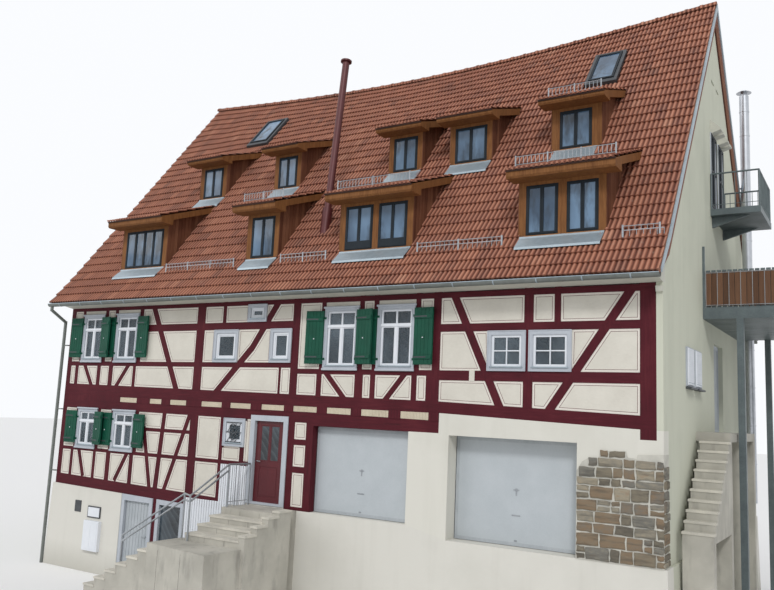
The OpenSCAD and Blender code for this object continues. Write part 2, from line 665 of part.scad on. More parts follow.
// Dormers: left and right of the walls, row (0 lower, 1 upper), windows, roof past the left and right
front_dormers = [[1552, 3317, 0, [[1700, 3170]], dormer_side, dormer_side],
    [6206, 7223, 0, [[6340, 7090]], dormer_side, dormer_side],
    [9070, 11040, 0, [[9220, 9980], [10130, 10890]], dormer_side, dormer_side],
    [13550, 15355, 0, [[13700, 14384], [14558, 15205]], 125, 295],
    [2547, 3574, 1, [[2680, 3440]], dormer_side, dormer_side],
    [5414, 6324, 1, [[5540, 6200]], dormer_side, dormer_side],
    [9194, 10150, 1, [[9320, 10020]], dormer_side, dormer_side],
    [10947, 12060, 1, [[11080, 11930]], dormer_side, dormer_side],
    [13547, 14700, 1, [[13732, 14480]], dormer_side, dormer_side]];
rear_dormers = [[2300, 4000, 0, [[2450, 3850]], dormer_side, dormer_side],
    [7300, 9000, 0, [[7450, 8850]], dormer_side, dormer_side],
    [12300, 14000, 0, [[12450, 13850]], dormer_side, dormer_side],
    [4600, 5700, 1, [[4750, 5550]], dormer_side, dormer_side],
    [10500, 11600, 1, [[10650, 11450]], dormer_side, dormer_side]];
function front_of(row) = row == 0 ? low_front : high_front;
function soffit_of(row) = roof_line(front_of(row)) + (row == 0 ? low_wall : high_wall);
function edge_of(row) = soffit_of(row) + (row == 0 ? low_edge_up : high_edge_up);
low_edge_up = 155;
high_edge_up = 100;
dormer_tan = tan(dormer_pitch);
function dormer_top(row, d) = edge_of(row) + (d - front_of(row) + dormer_out) * dormer_tan;
function dormer_under(row, d) = dormer_top(row, d) - dormer_roof_t;
roof_at_zero = roof_line(0);
function meet(row, drop) = (edge_of(row) - drop - (front_of(row) - dormer_out) * dormer_tan
    - roof_at_zero - seat) / (roof_slope - dormer_tan);
dormer_sill_h = 70;
dormer_head_h = 70;
function dormer_window(row, w) = [w[0], w[1], roof_line(front_of(row)) + dormer_sill_h,
    soffit_of(row) - dormer_head_h];
module dormer_front(d) {
    f = front_of(d[2]);
    difference() {
        cross_slice(d[0], d[1]) polygon([[f, roof_line(f) + seat],
            [f + dormer_wall_t, roof_line(f + dormer_wall_t) + seat],
            [f + dormer_wall_t, dormer_under(d[2], f + dormer_wall_t) - seat],
            [f, dormer_under(d[2], f) - seat]]);
        for (w = d[3]) wall_slice(f - eps, f + dormer_wall_t + eps) let (o = dormer_window(d[2], w))
            rect(o[0], o[1], o[2], o[3]);
    }
}
module dormer_cheek(d, u) {
    back = front_of(d[2]) + dormer_wall_t;
    tip = meet(d[2], dormer_roof_t);
    cross_slice(u, u + cheek_t) polygon([[back, roof_line(back) + seat], [tip, roof_line(tip) + seat],
        [back, dormer_under(d[2], back) - seat]]);
}
module dormer_roof(d) {
    f = front_of(d[2]);
    edge = f - dormer_out;
    top = meet(d[2], 0);
    tip = meet(d[2], dormer_roof_t);
    soffit = soffit_of(d[2]);
    cross_slice(d[0] - d[4], d[1] + d[5]) polygon([[edge, edge_of(d[2])], [top, roof_line(top) + seat],
        [tip, roof_line(tip) + seat], [f, dormer_under(d[2], f)], [f, soffit], [edge + 30, soffit],
        [edge, soffit + 40]]);
}
module dormer_hole(d) {
    f = front_of(d[2]);
    box_at(d[0] + cheek_t + 60, d[1] - cheek_t - 60, f + dormer_wall_t + 60, meet(d[2], dormer_roof_t) - 350,
        plate_h, ridge_h);
}
module roof_front() place() color(tile) difference() {
    roof_slope_solid(roof_u0, roof_u1);
    for (d = front_dormers) dormer_hole(d);
    for (s = front_skylights) skylight_box(s, -seat, -2 * roof_t, 2 * roof_t);
}
module roof_rear() place() from_rear() color(tile) difference() {
    roof_slope_solid(-verge_right, house_w + verge_left);
    for (d = rear_dormers) dormer_hole(d);
}
verge_t = 30;
verge_up = 25;
verge_down = 150;
module verge_half_2d() polygon([[-eaves_out, eaves_z - eaves_edge], [-eaves_out, eaves_z + verge_up],
    [kick_d, roof_line(kick_d) + verge_up], [pitch_run, ridge_h + verge_up],
    [pitch_run, ridge_h - verge_down], [kick_d, roof_line(kick_d) - verge_down]]);
module verge_trim() place() color(zinc) for (u = [roof_u0 - verge_t, roof_u1]) cross_slice(u, u + verge_t) {
    verge_half_2d();
    translate([house_d, 0]) mirror([1, 0]) verge_half_2d();
}
module dormer_fronts() place() color("#8a5a33") {
    for (d = front_dormers) dormer_front(d);
    from_rear() for (d = rear_dormers) dormer_front(d);
}
module dormer_cheeks() place() color("#7b4630") {
    for (d = front_dormers) {
        dormer_cheek(d, d[0]);
        dormer_cheek(d, d[1] - cheek_t);
    }
    from_rear() for (d = rear_dormers) {
        dormer_cheek(d, d[0]);
        dormer_cheek(d, d[1] - cheek_t);
    }
}
module dormer_roofs() place() color(tile) {
    for (d = front_dormers) dormer_roof(d);
    from_rear() for (d = rear_dormers) dormer_roof(d);
}

// Window casings and panes
module ring_2d(w, edge) difference() {
    rect(w[0], w[1], w[2], w[3]);
    rect(w[0] + edge, w[1] - edge, w[2] + edge, w[3] - edge);
}
module pane_2d(w, edge) rect(w[0] + edge, w[1] - edge, w[2] + edge, w[3] - edge);
sash_w = 50;
sash_back = 5;
sash_deep = 50;
dormer_glass_back = 18;
module dormer_rings(list) for (d = list, w = d[3]) let (f = front_of(d[2]))
    wall_slice(f + sash_back, f + sash_deep) ring_2d(dormer_window(d[2], w), sash_w);
module dormer_panes(list) for (d = list, w = d[3]) let (f = front_of(d[2]))
    wall_slice(f + dormer_glass_back, f + dormer_glass_back + glass_t)
        pane_2d(dormer_window(d[2], w), sash_w);
module window_frames() place() color("#b9c4cf") {
    wall_slice(-casing_out, casing_in) for (w = front_windows) ring_2d(w, casing_w);
    cross_slice(left_end - casing_out, left_end + casing_in) for (w = gable_windows) ring_2d(w, casing_w);
    cross_slice(right_end - casing_in, right_end + casing_out)
        for (w = concat(small_gable_windows, balcony_doors)) ring_2d(w, casing_w);
    from_rear() wall_slice(-casing_out, casing_in)
        for (w = concat(rear_low_windows, rear_high_windows)) ring_2d(w, casing_w);
    dormer_rings(front_dormers);
    from_rear() dormer_rings(rear_dormers);
    for (s = front_skylights) difference() {
        skylight_box(s, 0, -skylight_deep, skylight_up);
        skylight_box(s, skylight_edge, -skylight_deep - eps, skylight_up + eps);
    }
}
module window_glass() place() color("#6f8796") {
    wall_slice(glass_back, glass_back + glass_t) for (w = front_windows) pane_2d(w, casing_w);
    cross_slice(left_end + glass_back, left_end + glass_back + glass_t)
        for (w = gable_windows) pane_2d(w, casing_w);
    cross_slice(right_end - glass_back - glass_t, right_end - glass_back)
        for (w = concat(small_gable_windows, balcony_doors)) pane_2d(w, casing_w);
    from_rear() wall_slice(glass_back, glass_back + glass_t)
        for (w = concat(rear_low_windows, rear_high_windows)) pane_2d(w, casing_w);
    dormer_panes(front_dormers);
    from_rear() dormer_panes(rear_dormers);
    for (s = front_skylights) skylight_box(s, skylight_edge, 0, glass_t);
    wall_slice(glass_back, glass_back + glass_t) {
        pane_2d(bay_door, 0);
        pane_2d(bay_window, 0);
    }
}

// Shutters: each leaf is half as wide as its window and folds back beside it
hinge_w = 45;
module shutter(hinge_u, side, w, angle, lift) translate([hinge_u, -casing_out - lift, 0])
    mirror([side < 0 ? 1 : 0, 0, 0]) rotate(-angle) {
        translate([5, -shutter_t, w[2] + 110]) cube([(w[1] - w[0]) / 2, shutter_t, w[3] - w[2] - 180]);
    }
module hinges(hinge_u, side, w, lift) for (z = [w[2] + 200, w[3] - 260])
    translate([hinge_u, -casing_out - lift, z]) mirror([side < 0 ? 1 : 0, 0, 0])
        translate([-hinge_w, -10, 0]) cube([hinge_w + 25, lift + 10, 50]);
shutter_stand = shutter_t + 8;
module shutters() place() color("#12563b") for (w = shutter_windows) let (inner = w == shutter_windows[0]
        || w == shutter_windows[2] || w == shutter_windows[4]) {
    shutter(w[0], -1, w, inner ? 6 : 0, eps);
    hinges(w[0], -1, w, eps);
    shutter(w[1], 1, w, inner ? 12 : 5, inner ? shutter_stand : eps);
    hinges(w[1], 1, w, inner ? shutter_stand : eps);
}

// Snow guards: two rails on brackets, between the lower dormers and at the right verge
guard_runs = [[3560, 5960], [7480, 8820], [11280, 13260], [15720, house_w + verge_right - 60]];
guard_pitch = 110;
module snow_guard(run) {
    low = [60, roof_line(kick_d) - (kick_d - 60) * (roof_line(kick_d) - eaves_z) / (kick_d + eaves_out)];
    for (h = [40, 190]) box_at(run[0], run[1], low[0] - 4, low[0] + 4, low[1] + h, low[1] + h + 14);
    n = floor((run[1] - run[0]) / guard_pitch);
    for (i = [0:n]) let (u = run[0] + (run[1] - run[0] - 8) * i / n)
        box_at(u, u + 8, low[0] - 4, low[0] + 4, low[1] + (i % 8 == 0 ? 6 : 40), low[1] + 204);
}
module snow_guards() place() color(zinc) for (run = guard_runs) snow_guard(run);

// Flues
red_foot = [8200, 770];
red_cap_h = 40;
steel_cap_h = 60;
cap_grow = 1.6;
cap_top = 0.5;
neck_shrink = 0.7;
flue_clip_levels = [3000, 5600];
red_lean = 6.3;
red_collar = 650;
steel_flue_u = roof_u1 + verge_t + steel_flue_r + 20;
steel_flue_d = 8692;
steel_flue_foot = 2600;
module flues() place() {
    color("#5a1c1c") difference() {
        translate([red_foot[0], red_foot[1], roof_line(red_foot[1]) - 300]) rotate([-red_lean, 0, 0]) {
            cylinder(h = red_collar + 300, r = red_flue_foot_r);
            cylinder(h = red_flue_h - roof_line(red_foot[1]) + 300, r = red_flue_r);
            translate([0, 0, red_flue_h - roof_line(red_foot[1]) + 300])
                cylinder(h = red_cap_h, r = red_flue_r * cap_grow);
        }
        cross_slice(red_foot[0] - 500, red_foot[0] + 500) polygon([[0, roof_line(0) + seat],
            [2000, roof_line(2000) + seat], [2000, 7000], [0, 7000]]);
    }
    color(zinc) {
        translate([steel_flue_u, steel_flue_d, steel_flue_foot]) {
            cylinder(h = steel_flue_h - steel_flue_foot - 160, r = steel_flue_r);
            cylinder(h = steel_flue_h - steel_flue_foot, r = steel_flue_r * neck_shrink);
            translate([0, 0, steel_flue_h - steel_flue_foot - steel_cap_h])
                cylinder(h = steel_cap_h, r1 = steel_flue_r * cap_grow, r2 = steel_flue_r * cap_top);
        }
        for (z = flue_clip_levels)
            box_at(right_end, steel_flue_u, steel_flue_d - 20, steel_flue_d + 20, z, z + 40);
        box_at(right_end, steel_flue_u, steel_flue_d - 80, steel_flue_d + 80, steel_flue_foot + 80,
            steel_flue_foot + 240);
    }
}

// Balcony and terrace on the right gable, with their railings
balcony_t = 150;
balcony_end = balcony_d + balcony_len;
balcony_edge = right_end + balcony_out;
terrace_end = terrace_d + terrace_len;
terrace_edge = right_end + terrace_out;
terrace_top = terrace_h + terrace_t;
post_w = 140;
module balcony() place() color("#55606a") {
    box_at(right_end, balcony_edge, balcony_d, balcony_end, balcony_h, balcony_h + balcony_t);
    for (d = [balcony_d + 200, balcony_end - 280]) wall_slice(d, d + 80)
        polygon([[right_end, balcony_h + eps], [balcony_edge - 250, balcony_h + eps],
            [balcony_edge - 250, balcony_h], [right_end, balcony_h - 250]]);
}
module terrace() place() color("#3c3f42") {
    box_at(right_end, terrace_edge, terrace_d, terrace_end, terrace_h, terrace_top);
    for (u = [right_end + base_flare + gable_stair_w + 30, terrace_edge - post_w],
        d = [terrace_d, terrace_end - post_w])
        box_at(u, u + post_w, d, d + post_w, 0, terrace_h + eps);
    box_at(right_end, right_end + 50, terrace_d, terrace_d + 50, terrace_top - eps, 8461);
}
bar_r = 8;
foot_share = 0.12;
module rail_run(a, b, height, pitch) {
    n = max(2, round(norm(b - a) / pitch));
    for (h = [foot_share * height, height - rail_r])
        tube(a + [0, 0, h], b + [0, 0, h], h > height / 2 ? rail_r : bar_r);
    for (i = [0:n]) let (p = a + (b - a) * i / n)
        tube(p, p + [0, 0, height - rail_r], i == 0 || i == n ? rail_r : bar_r);
}
slat_w = 90;
slat_gap = 20;
slat_t = 24;
rail_from_end = 120;
slat_inset = 40;
module slat_run(a, b, height) {
    length = norm(b - a);
    n = floor(length / (slat_w + slat_gap));
    translate(a) rotate(atan2(b[1] - a[1], b[0] - a[0])) {
        for (z = [rail_from_end, height - rail_from_end]) translate([0, -20, z]) cube([length, 40, 60]);
        for (i = [0:n - 1]) translate([i * (slat_w + slat_gap) + slat_gap / 2, -slat_t / 2, 0])
            cube([slat_w, slat_t, height]);
    }
}
module gable_railings() place() color("#4a4540") {
    inset = 30;
    near = balcony_d + inset;
    far = balcony_end - inset;
    out = balcony_edge - inset;
    level = balcony_h + balcony_t;
    wall = right_end + rail_r;
    color("#55606a") {
        rail_run([wall, near, level], [out, near, level], balcony_rail, 260);
        rail_run([out, near, level], [out, far, level], balcony_rail, 125);
        rail_run([out, far, level], [wall, far, level], balcony_rail, 125);
    }
    near_slats = terrace_d + slat_inset;
    far_slats = terrace_end - slat_inset;
    out_slats = terrace_edge - slat_inset;
    slat_run([right_end + 60, near_slats, terrace_top], [out_slats, near_slats, terrace_top], terrace_rail);
    slat_run([out_slats, near_slats, terrace_top], [out_slats, far_slats, terrace_top], terrace_rail);
    slat_run([out_slats, far_slats, terrace_top], [right_end + 500, far_slats, terrace_top], terrace_rail);
}

// Stair along the gable, a flight and a landing on piers
gable_steps = 11;
gable_rise = 179;
gable_flight_foot = gable_door_z - gable_steps * gable_rise;
gable_landing_d = gable_stair_d + (gable_steps - 1) * gable_going;
gable_landing_end = 6300;
gable_waist = 190;
gable_pier_t = 220;
module gable_stair() place() color("#6a665f") {
    outer = right_end + base_flare;
    cross_slice(outer + 10, outer + gable_stair_w) {
        for (i = [1:gable_steps - 1])
            rect(gable_stair_d + (i - 1) * gable_going, gable_landing_d + eps,
                gable_flight_foot + (i - 1) * gable_rise, gable_flight_foot + i * gable_rise);
        polygon([[gable_stair_d, gable_flight_foot + eps], [gable_stair_d, gable_flight_foot - gable_waist],
            [gable_landing_d, gable_door_z - gable_rise - gable_waist],
            [gable_landing_d, gable_door_z - gable_rise]]);
        rect(gable_landing_d, gable_landing_end, gable_door_z - gable_rise, gable_door_z);
        for (d = [gable_stair_d, gable_landing_d, (gable_landing_d + gable_landing_end) / 2,
            gable_landing_end - gable_pier_t])
            rect(d, d + gable_pier_t, 0,
                (d < gable_landing_d ? gable_flight_foot : gable_door_z - gable_rise) + eps);
    }
    box_at(right_end, outer + 10 + eps, gable_landing_d + eps, gable_landing_end, gable_door_z - gable_rise,
        gable_door_z);
}

// Entrance stair: a landing, three steps down to a lower landing, and six blocks down to the left
landing_z = 2247;
flight_u0 = entrance_u;
flight_u1 = flight_u0 + stair_w;
front_steps = 3;
lower_landing_z = landing_z - (front_steps + 1) * stair_rise;
lower_landing_d = -landing_depth - front_steps * stair_going;
flank_u = 6634;
flank_steps = 6;
flank_d0 = -2568;
flank_d1 = -1658;
landing_end_u = flight_u1 + 86;
landing_front_left = -2630;
landing_front_right = -2921;
kerb_w = 170;
kerb_up = 110;
module entrance_stair() place() color("#b5b0a4") {
    box_at(flight_u0, flight_u1, -landing_depth, 0, 0, landing_z);
    for (i = [1:front_steps])
        box_at(flight_u0, flight_u1, -landing_depth - i * stair_going,
            -landing_depth - (i - 1) * stair_going + eps, 0, landing_z - i * stair_rise);
    linear_extrude(lower_landing_z) polygon([[flank_u, flank_d1], [flight_u0 + eps, flank_d1],
        [flight_u0 + eps, lower_landing_d + eps], [landing_end_u, lower_landing_d + eps],
        [landing_end_u, landing_front_right], [flank_u, landing_front_left]]);
    for (i = [1:flank_steps])
        box_at(flank_u - i * flank_going, flank_u - (i - 1) * flank_going + eps, flank_d0, flank_d1, 0,
            lower_landing_z - i * flank_rise);
    for (i = [1:front_steps])
        box_at(flight_u1 - eps, flight_u1 + kerb_w, -landing_depth - i * stair_going,
            -landing_depth - (i - 1) * stair_going, 0, landing_z - i * stair_rise + kerb_up);
    box_at(flight_u1 - eps, flight_u1 + kerb_w, -landing_depth, -landing_depth / 2, 0,
        landing_z + kerb_up / 2);
}
module stair_railing() place() color("#9aa0a4") {
    u = flight_u0 + 107;
    top = [u, -60, landing_z];
    corner = [u, -landing_depth + 40, landing_z];
    foot = [u, lower_landing_d - 45, lower_landing_z];
    turn = [flank_u + 60, flank_d1 - 60, lower_landing_z];
    end = [flank_u - flank_steps * flank_going + 120, flank_d1 - 60,
        lower_landing_z - flank_steps * flank_rise];
    rail_run(top, corner, rail_h, 120);
    tube(foot, foot + [0, 0, rail_h], rail_r);
    tube(turn, turn + [0, 0, rail_h], rail_r);
    tube(end, end + [0, 0, rail_h], rail_r);
    for (h = [rail_h - rail_r, rail_h - 150]) {
        tube(corner + [0, 0, h], foot + [0, 0, h], rail_r);
        tube(foot + [0, 0, h], turn + [0, 0, h], rail_r);
        tube(turn + [0, 0, h], end + [0, 0, h], rail_r);
    }
}

// Doors on pivot pins. A doorway is left, right, foot and head of the frame's outline
frame_back = -casing_out;
frame_deep = 185;
leaf_back = 60;
threshold_h = 50;
pivot_in = 12;
entrance_way = [entrance_u, entrance_end, entrance_h, entrance_h + entrance_top];
bay_way = [cellar_post[1], 4976, slab_t, 0];
cellar_post_w = 110;
cellar_head = lower_sill(cellar_post[0]) - 90;
bay_door = [bay_way[0] + cellar_post_w, bay_way[1] - cellar_post_w, slab_t + threshold_h, cellar_head - 40];
bay_window = [5850, 6200, 1250, 1700];
entrance_leaf = [entrance_u + entrance_post + door_gap, entrance_end - entrance_post - door_gap,
    entrance_h + threshold_h + door_gap, entrance_h + entrance_top - entrance_post - door_gap];
cellar_leaf = [cellar_left + cellar_post_w + door_gap, cellar_post[0] - cellar_post_w - door_gap,
    slab_t + threshold_h + door_gap, cellar_head - 40 - door_gap];
gable_frame_w = 95;
gable_leaf = [gable_door_d + gable_frame_w + door_gap, gable_door_end - gable_frame_w - door_gap,
    gable_door_z + threshold_h + door_gap, gable_door_top - gable_frame_w - door_gap];
gable_leaf_u = right_end - 120;
module pin_pair(u, d, z0, z1) {
    translate([u, d, z1 - eps]) cylinder(h = door_gap + pin_len + eps, r = pin_r);
    translate([u, d, z0 - door_gap - pin_len]) cylinder(h = door_gap + pin_len + eps, r = pin_r);
}
module pin_holes(u, d, z0, z1) {
    translate([u, d, z1]) cylinder(h = door_gap + pin_len + 5, r = pin_r + pin_clear);
    translate([u, d, z0 - door_gap - pin_len - 5])
        cylinder(h = door_gap + pin_len + 5, r = pin_r + pin_clear);
}
entrance_pivot = [entrance_leaf[1] - pivot_in, leaf_back + door_t - pivot_in];
cellar_pivot = [cellar_leaf[0] + pivot_in, leaf_back + door_t - pivot_in];
gable_pivot = [gable_leaf_u - door_t + pivot_in, gable_leaf[1] - pivot_in];
module door_frames() place() {
    color("#c9d3dc") difference() {
        wall_slice(frame_back, frame_back + frame_deep) difference() {
            rect(entrance_way[0], entrance_way[1], entrance_way[2], entrance_way[3]);
            rect(entrance_leaf[0] - door_gap, entrance_leaf[1] + door_gap, entrance_leaf[2] - door_gap,
                entrance_leaf[3] + door_gap);
        }
        pin_holes(entrance_pivot[0], entrance_pivot[1], entrance_leaf[2], entrance_leaf[3]);
    }
    color("#dfe4e8") difference() {
        wall_slice(frame_back, frame_back + frame_deep) difference() {
            polygon([[cellar_left, slab_t], [cellar_post[0], slab_t],
                [cellar_post[0], under_sill(cellar_post[0])], [cellar_left, under_sill(cellar_left)]]);
            rect(cellar_leaf[0] - door_gap, cellar_leaf[1] + door_gap, cellar_leaf[2] - door_gap,
                cellar_leaf[3] + door_gap);
        }
        pin_holes(cellar_pivot[0], cellar_pivot[1], cellar_leaf[2], cellar_leaf[3]);
    }
    color("#dfe4e8") wall_slice(frame_back, frame_back + frame_deep) difference() {
        polygon([[cellar_post[1], slab_t], [cellar_right, slab_t], [cellar_right, entrance_h],
            [lower_sill_end, entrance_h], [lower_sill_end, under_sill(lower_sill_end)],
            [cellar_post[1], under_sill(cellar_post[1])]]);
        pane_2d(bay_door, 0);
        pane_2d(bay_window, 0);
    }
    color("#dfe4e8") difference() {
        cross_slice(gable_leaf_u - door_t - 60, gable_leaf_u + 20) difference() {
            rect(gable_door_d, gable_door_end, gable_door_z, gable_door_top);
            rect(gable_leaf[0] - door_gap, gable_leaf[1] + door_gap, gable_leaf[2] - door_gap,
                gable_leaf[3] + door_gap);
        }
        pin_holes(gable_pivot[0], gable_pivot[1], gable_leaf[2], gable_leaf[3]);
    }
}
module entrance_door() place() color("#5e1016") {
    wall_slice(leaf_back, leaf_back + door_t) rect(entrance_leaf[0], entrance_leaf[1], entrance_leaf[2],
        entrance_leaf[3]);
    pin_pair(entrance_pivot[0], entrance_pivot[1], entrance_leaf[2], entrance_leaf[3]);
}
module cellar_door() place() color("#b9c0c6") {
    wall_slice(leaf_back, leaf_back + door_t) rect(cellar_leaf[0], cellar_leaf[1], cellar_leaf[2],
        cellar_leaf[3]);
    pin_pair(cellar_pivot[0], cellar_pivot[1], cellar_leaf[2], cellar_leaf[3]);
}
module gable_door() place() color("#5d6468") {
    cross_slice(gable_leaf_u - door_t, gable_leaf_u) rect(gable_leaf[0], gable_leaf[1], gable_leaf[2],
        gable_leaf[3]);
    pin_pair(gable_pivot[0], gable_pivot[1], gable_leaf[2], gable_leaf[3]);
}

// Garage doors, which swing up about a pivot behind the leaf
garage_left = [garage_left_u, garage_left_end, garage_left_foot, garage_left_top, frame_t];
garage_right = [garage_right_u, garage_right_end, street_h, garage_right_top, garage_wall_t];
arm_t = 10;
arm_w = 60;
arm_in = 12;
bracket_t = 12;
post_t = 60;
function leaf_h(g) = g[3] - g[2] - 2 * door_gap;
function pivot_z(g) = g[2] + door_gap + leaf_h(g) * (1 + leaf_out) / 2;
function leaf_d(g) = g[4] + door_gap;
function garage_pivot_d(g) = leaf_d(g) + leaf_h(g) * (1 - leaf_out) / 2;
module garage_leaf(g) {
    box_at(g[0] + door_gap, g[1] - door_gap, leaf_d(g), leaf_d(g) + leaf_t, g[2] + door_gap, g[3] - door_gap);
    for (side = [0, 1]) let (u = side == 0 ? g[0] + door_gap + arm_in : g[1] - door_gap - arm_in - arm_t) {
        box_at(u, u + arm_t, leaf_d(g) + leaf_t - eps, garage_pivot_d(g) + arm_w / 2, pivot_z(g) - arm_w / 2,
            pivot_z(g) + arm_w / 2);
        translate([side == 0 ? u + eps : u + arm_t - eps, garage_pivot_d(g), pivot_z(g)])
            rotate([0, side == 0 ? -90 : 90, 0])
                cylinder(h = door_gap + arm_in + bracket_t + pin_in, r = pin_r);
    }
}
pin_in = 6;
module garage_side(g, side) {
    back = side == 1 || g == garage_right ? garage_wall_t : frame_t;
    face = side == 0 ? g[0] - pin_in : g[1] + pin_in;
    out = side == 0 ? -1 : 1;
    difference() {
        union() {
            box_at(min(face, face + out * post_t), max(face, face + out * post_t), back, back + post_t,
                g[2] + 2 * door_gap, g[3]);
            box_at(min(face, face + out * bracket_t), max(face, face + out * bracket_t), back,
                garage_pivot_d(g) + arm_w / 2, pivot_z(g) - arm_w / 2, pivot_z(g) + arm_w / 2);
        }
        translate([face - out * eps, garage_pivot_d(g), pivot_z(g)]) rotate([0, side == 0 ? -90 : 90, 0])
            cylinder(h = bracket_t + 2 * eps, r = pin_r + pin_clear);
    }
}
module garage_frames() place() color("#8f979c") for (g = [garage_left, garage_right], side = [0, 1])
    garage_side(g, side);
module garage_door_left() place() color("#aebccb") garage_leaf(garage_left);
module garage_door_right() place() color("#aebccb") garage_leaf(garage_right);

floors();
floor_beams();
base_wall_front();
garage_piers();
garage_lintel();
rubble_corner();
left_gable_wall();
right_gable_base();
right_gable_piers();
right_gable_upper();
rear_base_wall();
front_posts();
front_plates();
front_rails();
front_braces();
front_panels();
rear_timbers();
rear_panels();
eaves_boxes();
gutters();
roof_front();
roof_rear();
verge_trim();
dormer_fronts();
dormer_cheeks();
dormer_roofs();
window_frames();
window_glass();
shutters();
snow_guards();
flues();
balcony();
terrace();
gable_railings();
gable_stair();
entrance_stair();
stair_railing();
door_frames();
entrance_door();
garage_frames();
garage_door_left();
garage_door_right();
cellar_door();
gable_door();
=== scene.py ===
# Half-timbered house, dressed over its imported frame.
# Lengths from the survey are millimetres: u along the front, d into the house, z above the lowest ground.
import bpy, bmesh, math, random
from itertools import product
from mathutils import Vector, Matrix
from mathutils.bvhtree import BVHTree


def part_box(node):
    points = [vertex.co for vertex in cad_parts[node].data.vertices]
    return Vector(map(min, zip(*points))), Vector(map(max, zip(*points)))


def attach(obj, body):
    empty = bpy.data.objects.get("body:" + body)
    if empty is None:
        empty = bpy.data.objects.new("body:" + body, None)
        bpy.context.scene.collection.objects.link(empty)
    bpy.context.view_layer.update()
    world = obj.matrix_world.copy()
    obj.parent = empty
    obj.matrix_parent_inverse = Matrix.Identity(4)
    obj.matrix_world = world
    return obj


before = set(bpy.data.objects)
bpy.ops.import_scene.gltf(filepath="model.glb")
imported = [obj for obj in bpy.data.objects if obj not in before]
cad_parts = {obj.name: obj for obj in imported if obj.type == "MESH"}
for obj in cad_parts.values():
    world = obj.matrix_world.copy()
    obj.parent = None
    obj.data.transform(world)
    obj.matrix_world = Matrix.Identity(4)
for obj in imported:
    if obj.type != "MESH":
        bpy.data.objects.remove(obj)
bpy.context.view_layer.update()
dice = random.Random(11)
house = {"middleU": 8170, "middleD": 5575, "wall": 0.12, "slope": 1.3032, "straight": 0.95}
print("frame loaded, nodes:", len(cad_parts))


# A survey point in metres
def at(u, d, z):
    return Vector(((u - house["middleU"]) / 1000, (d - house["middleD"]) / 1000, z / 1000))


# The point a share of the way from one value to another
def between(first, last, n, count):
    return first + (last - first) * n / count


def newObject(name, data):
    made = bpy.data.objects.new(name, data)
    bpy.context.scene.collection.objects.link(made)
    return made


camera = {"place": (11.672, -20.357, 4.494), "yaw": -32.035, "pitch": 8.365, "roll": 2.562, "lens": 37.41,
          "film": 36, "reach": 400}


def makeCamera():
    yaw, pitch, roll = (math.radians(camera[k]) for k in ("yaw", "pitch", "roll"))
    ahead = Vector((math.sin(yaw), math.cos(yaw), 0))
    side = Vector((math.cos(yaw), -math.sin(yaw), 0))
    up = Vector((0, 0, 1))
    look = ahead * math.cos(pitch) + up * math.sin(pitch)
    top = up * math.cos(pitch) - ahead * math.sin(pitch)
    right = side * math.cos(roll) + top * math.sin(roll)
    crown = top * math.cos(roll) - side * math.sin(roll)
    data = bpy.data.cameras.new("photoView")
    data.lens = camera["lens"]
    data.sensor_width = camera["film"]
    data.clip_end = camera["reach"]
    eye = newObject("photoView", data)
    turn = Matrix((right, crown, -look)).transposed().to_4x4()
    eye.matrix_world = Matrix.Translation(camera["place"]) @ turn
    bpy.context.scene.camera = eye


# Shader building: a Wire is one socket, and sums and products of wires add their Math nodes
class Wire:
    def __init__(self, finish, socket):
        self.finish = finish
        self.socket = socket

    def math(self, operation, first, second=0.0):
        return self.finish.node("ShaderNodeMath", {"operation": operation}, {0: first, 1: second})

    def __add__(self, other):
        return self.math("ADD", self, other)

    def __radd__(self, other):
        return self.math("ADD", other, self)

    def __sub__(self, other):
        return self.math("SUBTRACT", self, other)

    def __rsub__(self, other):
        return self.math("SUBTRACT", other, self)

    def __mul__(self, other):
        return self.math("MULTIPLY", self, other)

    def __rmul__(self, other):
        return self.math("MULTIPLY", other, self)

    def __pow__(self, other):
        return self.math("POWER", self, other)

    def __rpow__(self, other):
        return self.math("POWER", other, self)

    def cosine(self):
        return self.math("COSINE", self)

    def fraction(self):
        return self.math("FRACT", self)

    def clamp(self):
        return self.finish.node("ShaderNodeClamp", {}, {0: self, 1: 0.0, 2: 1.0})


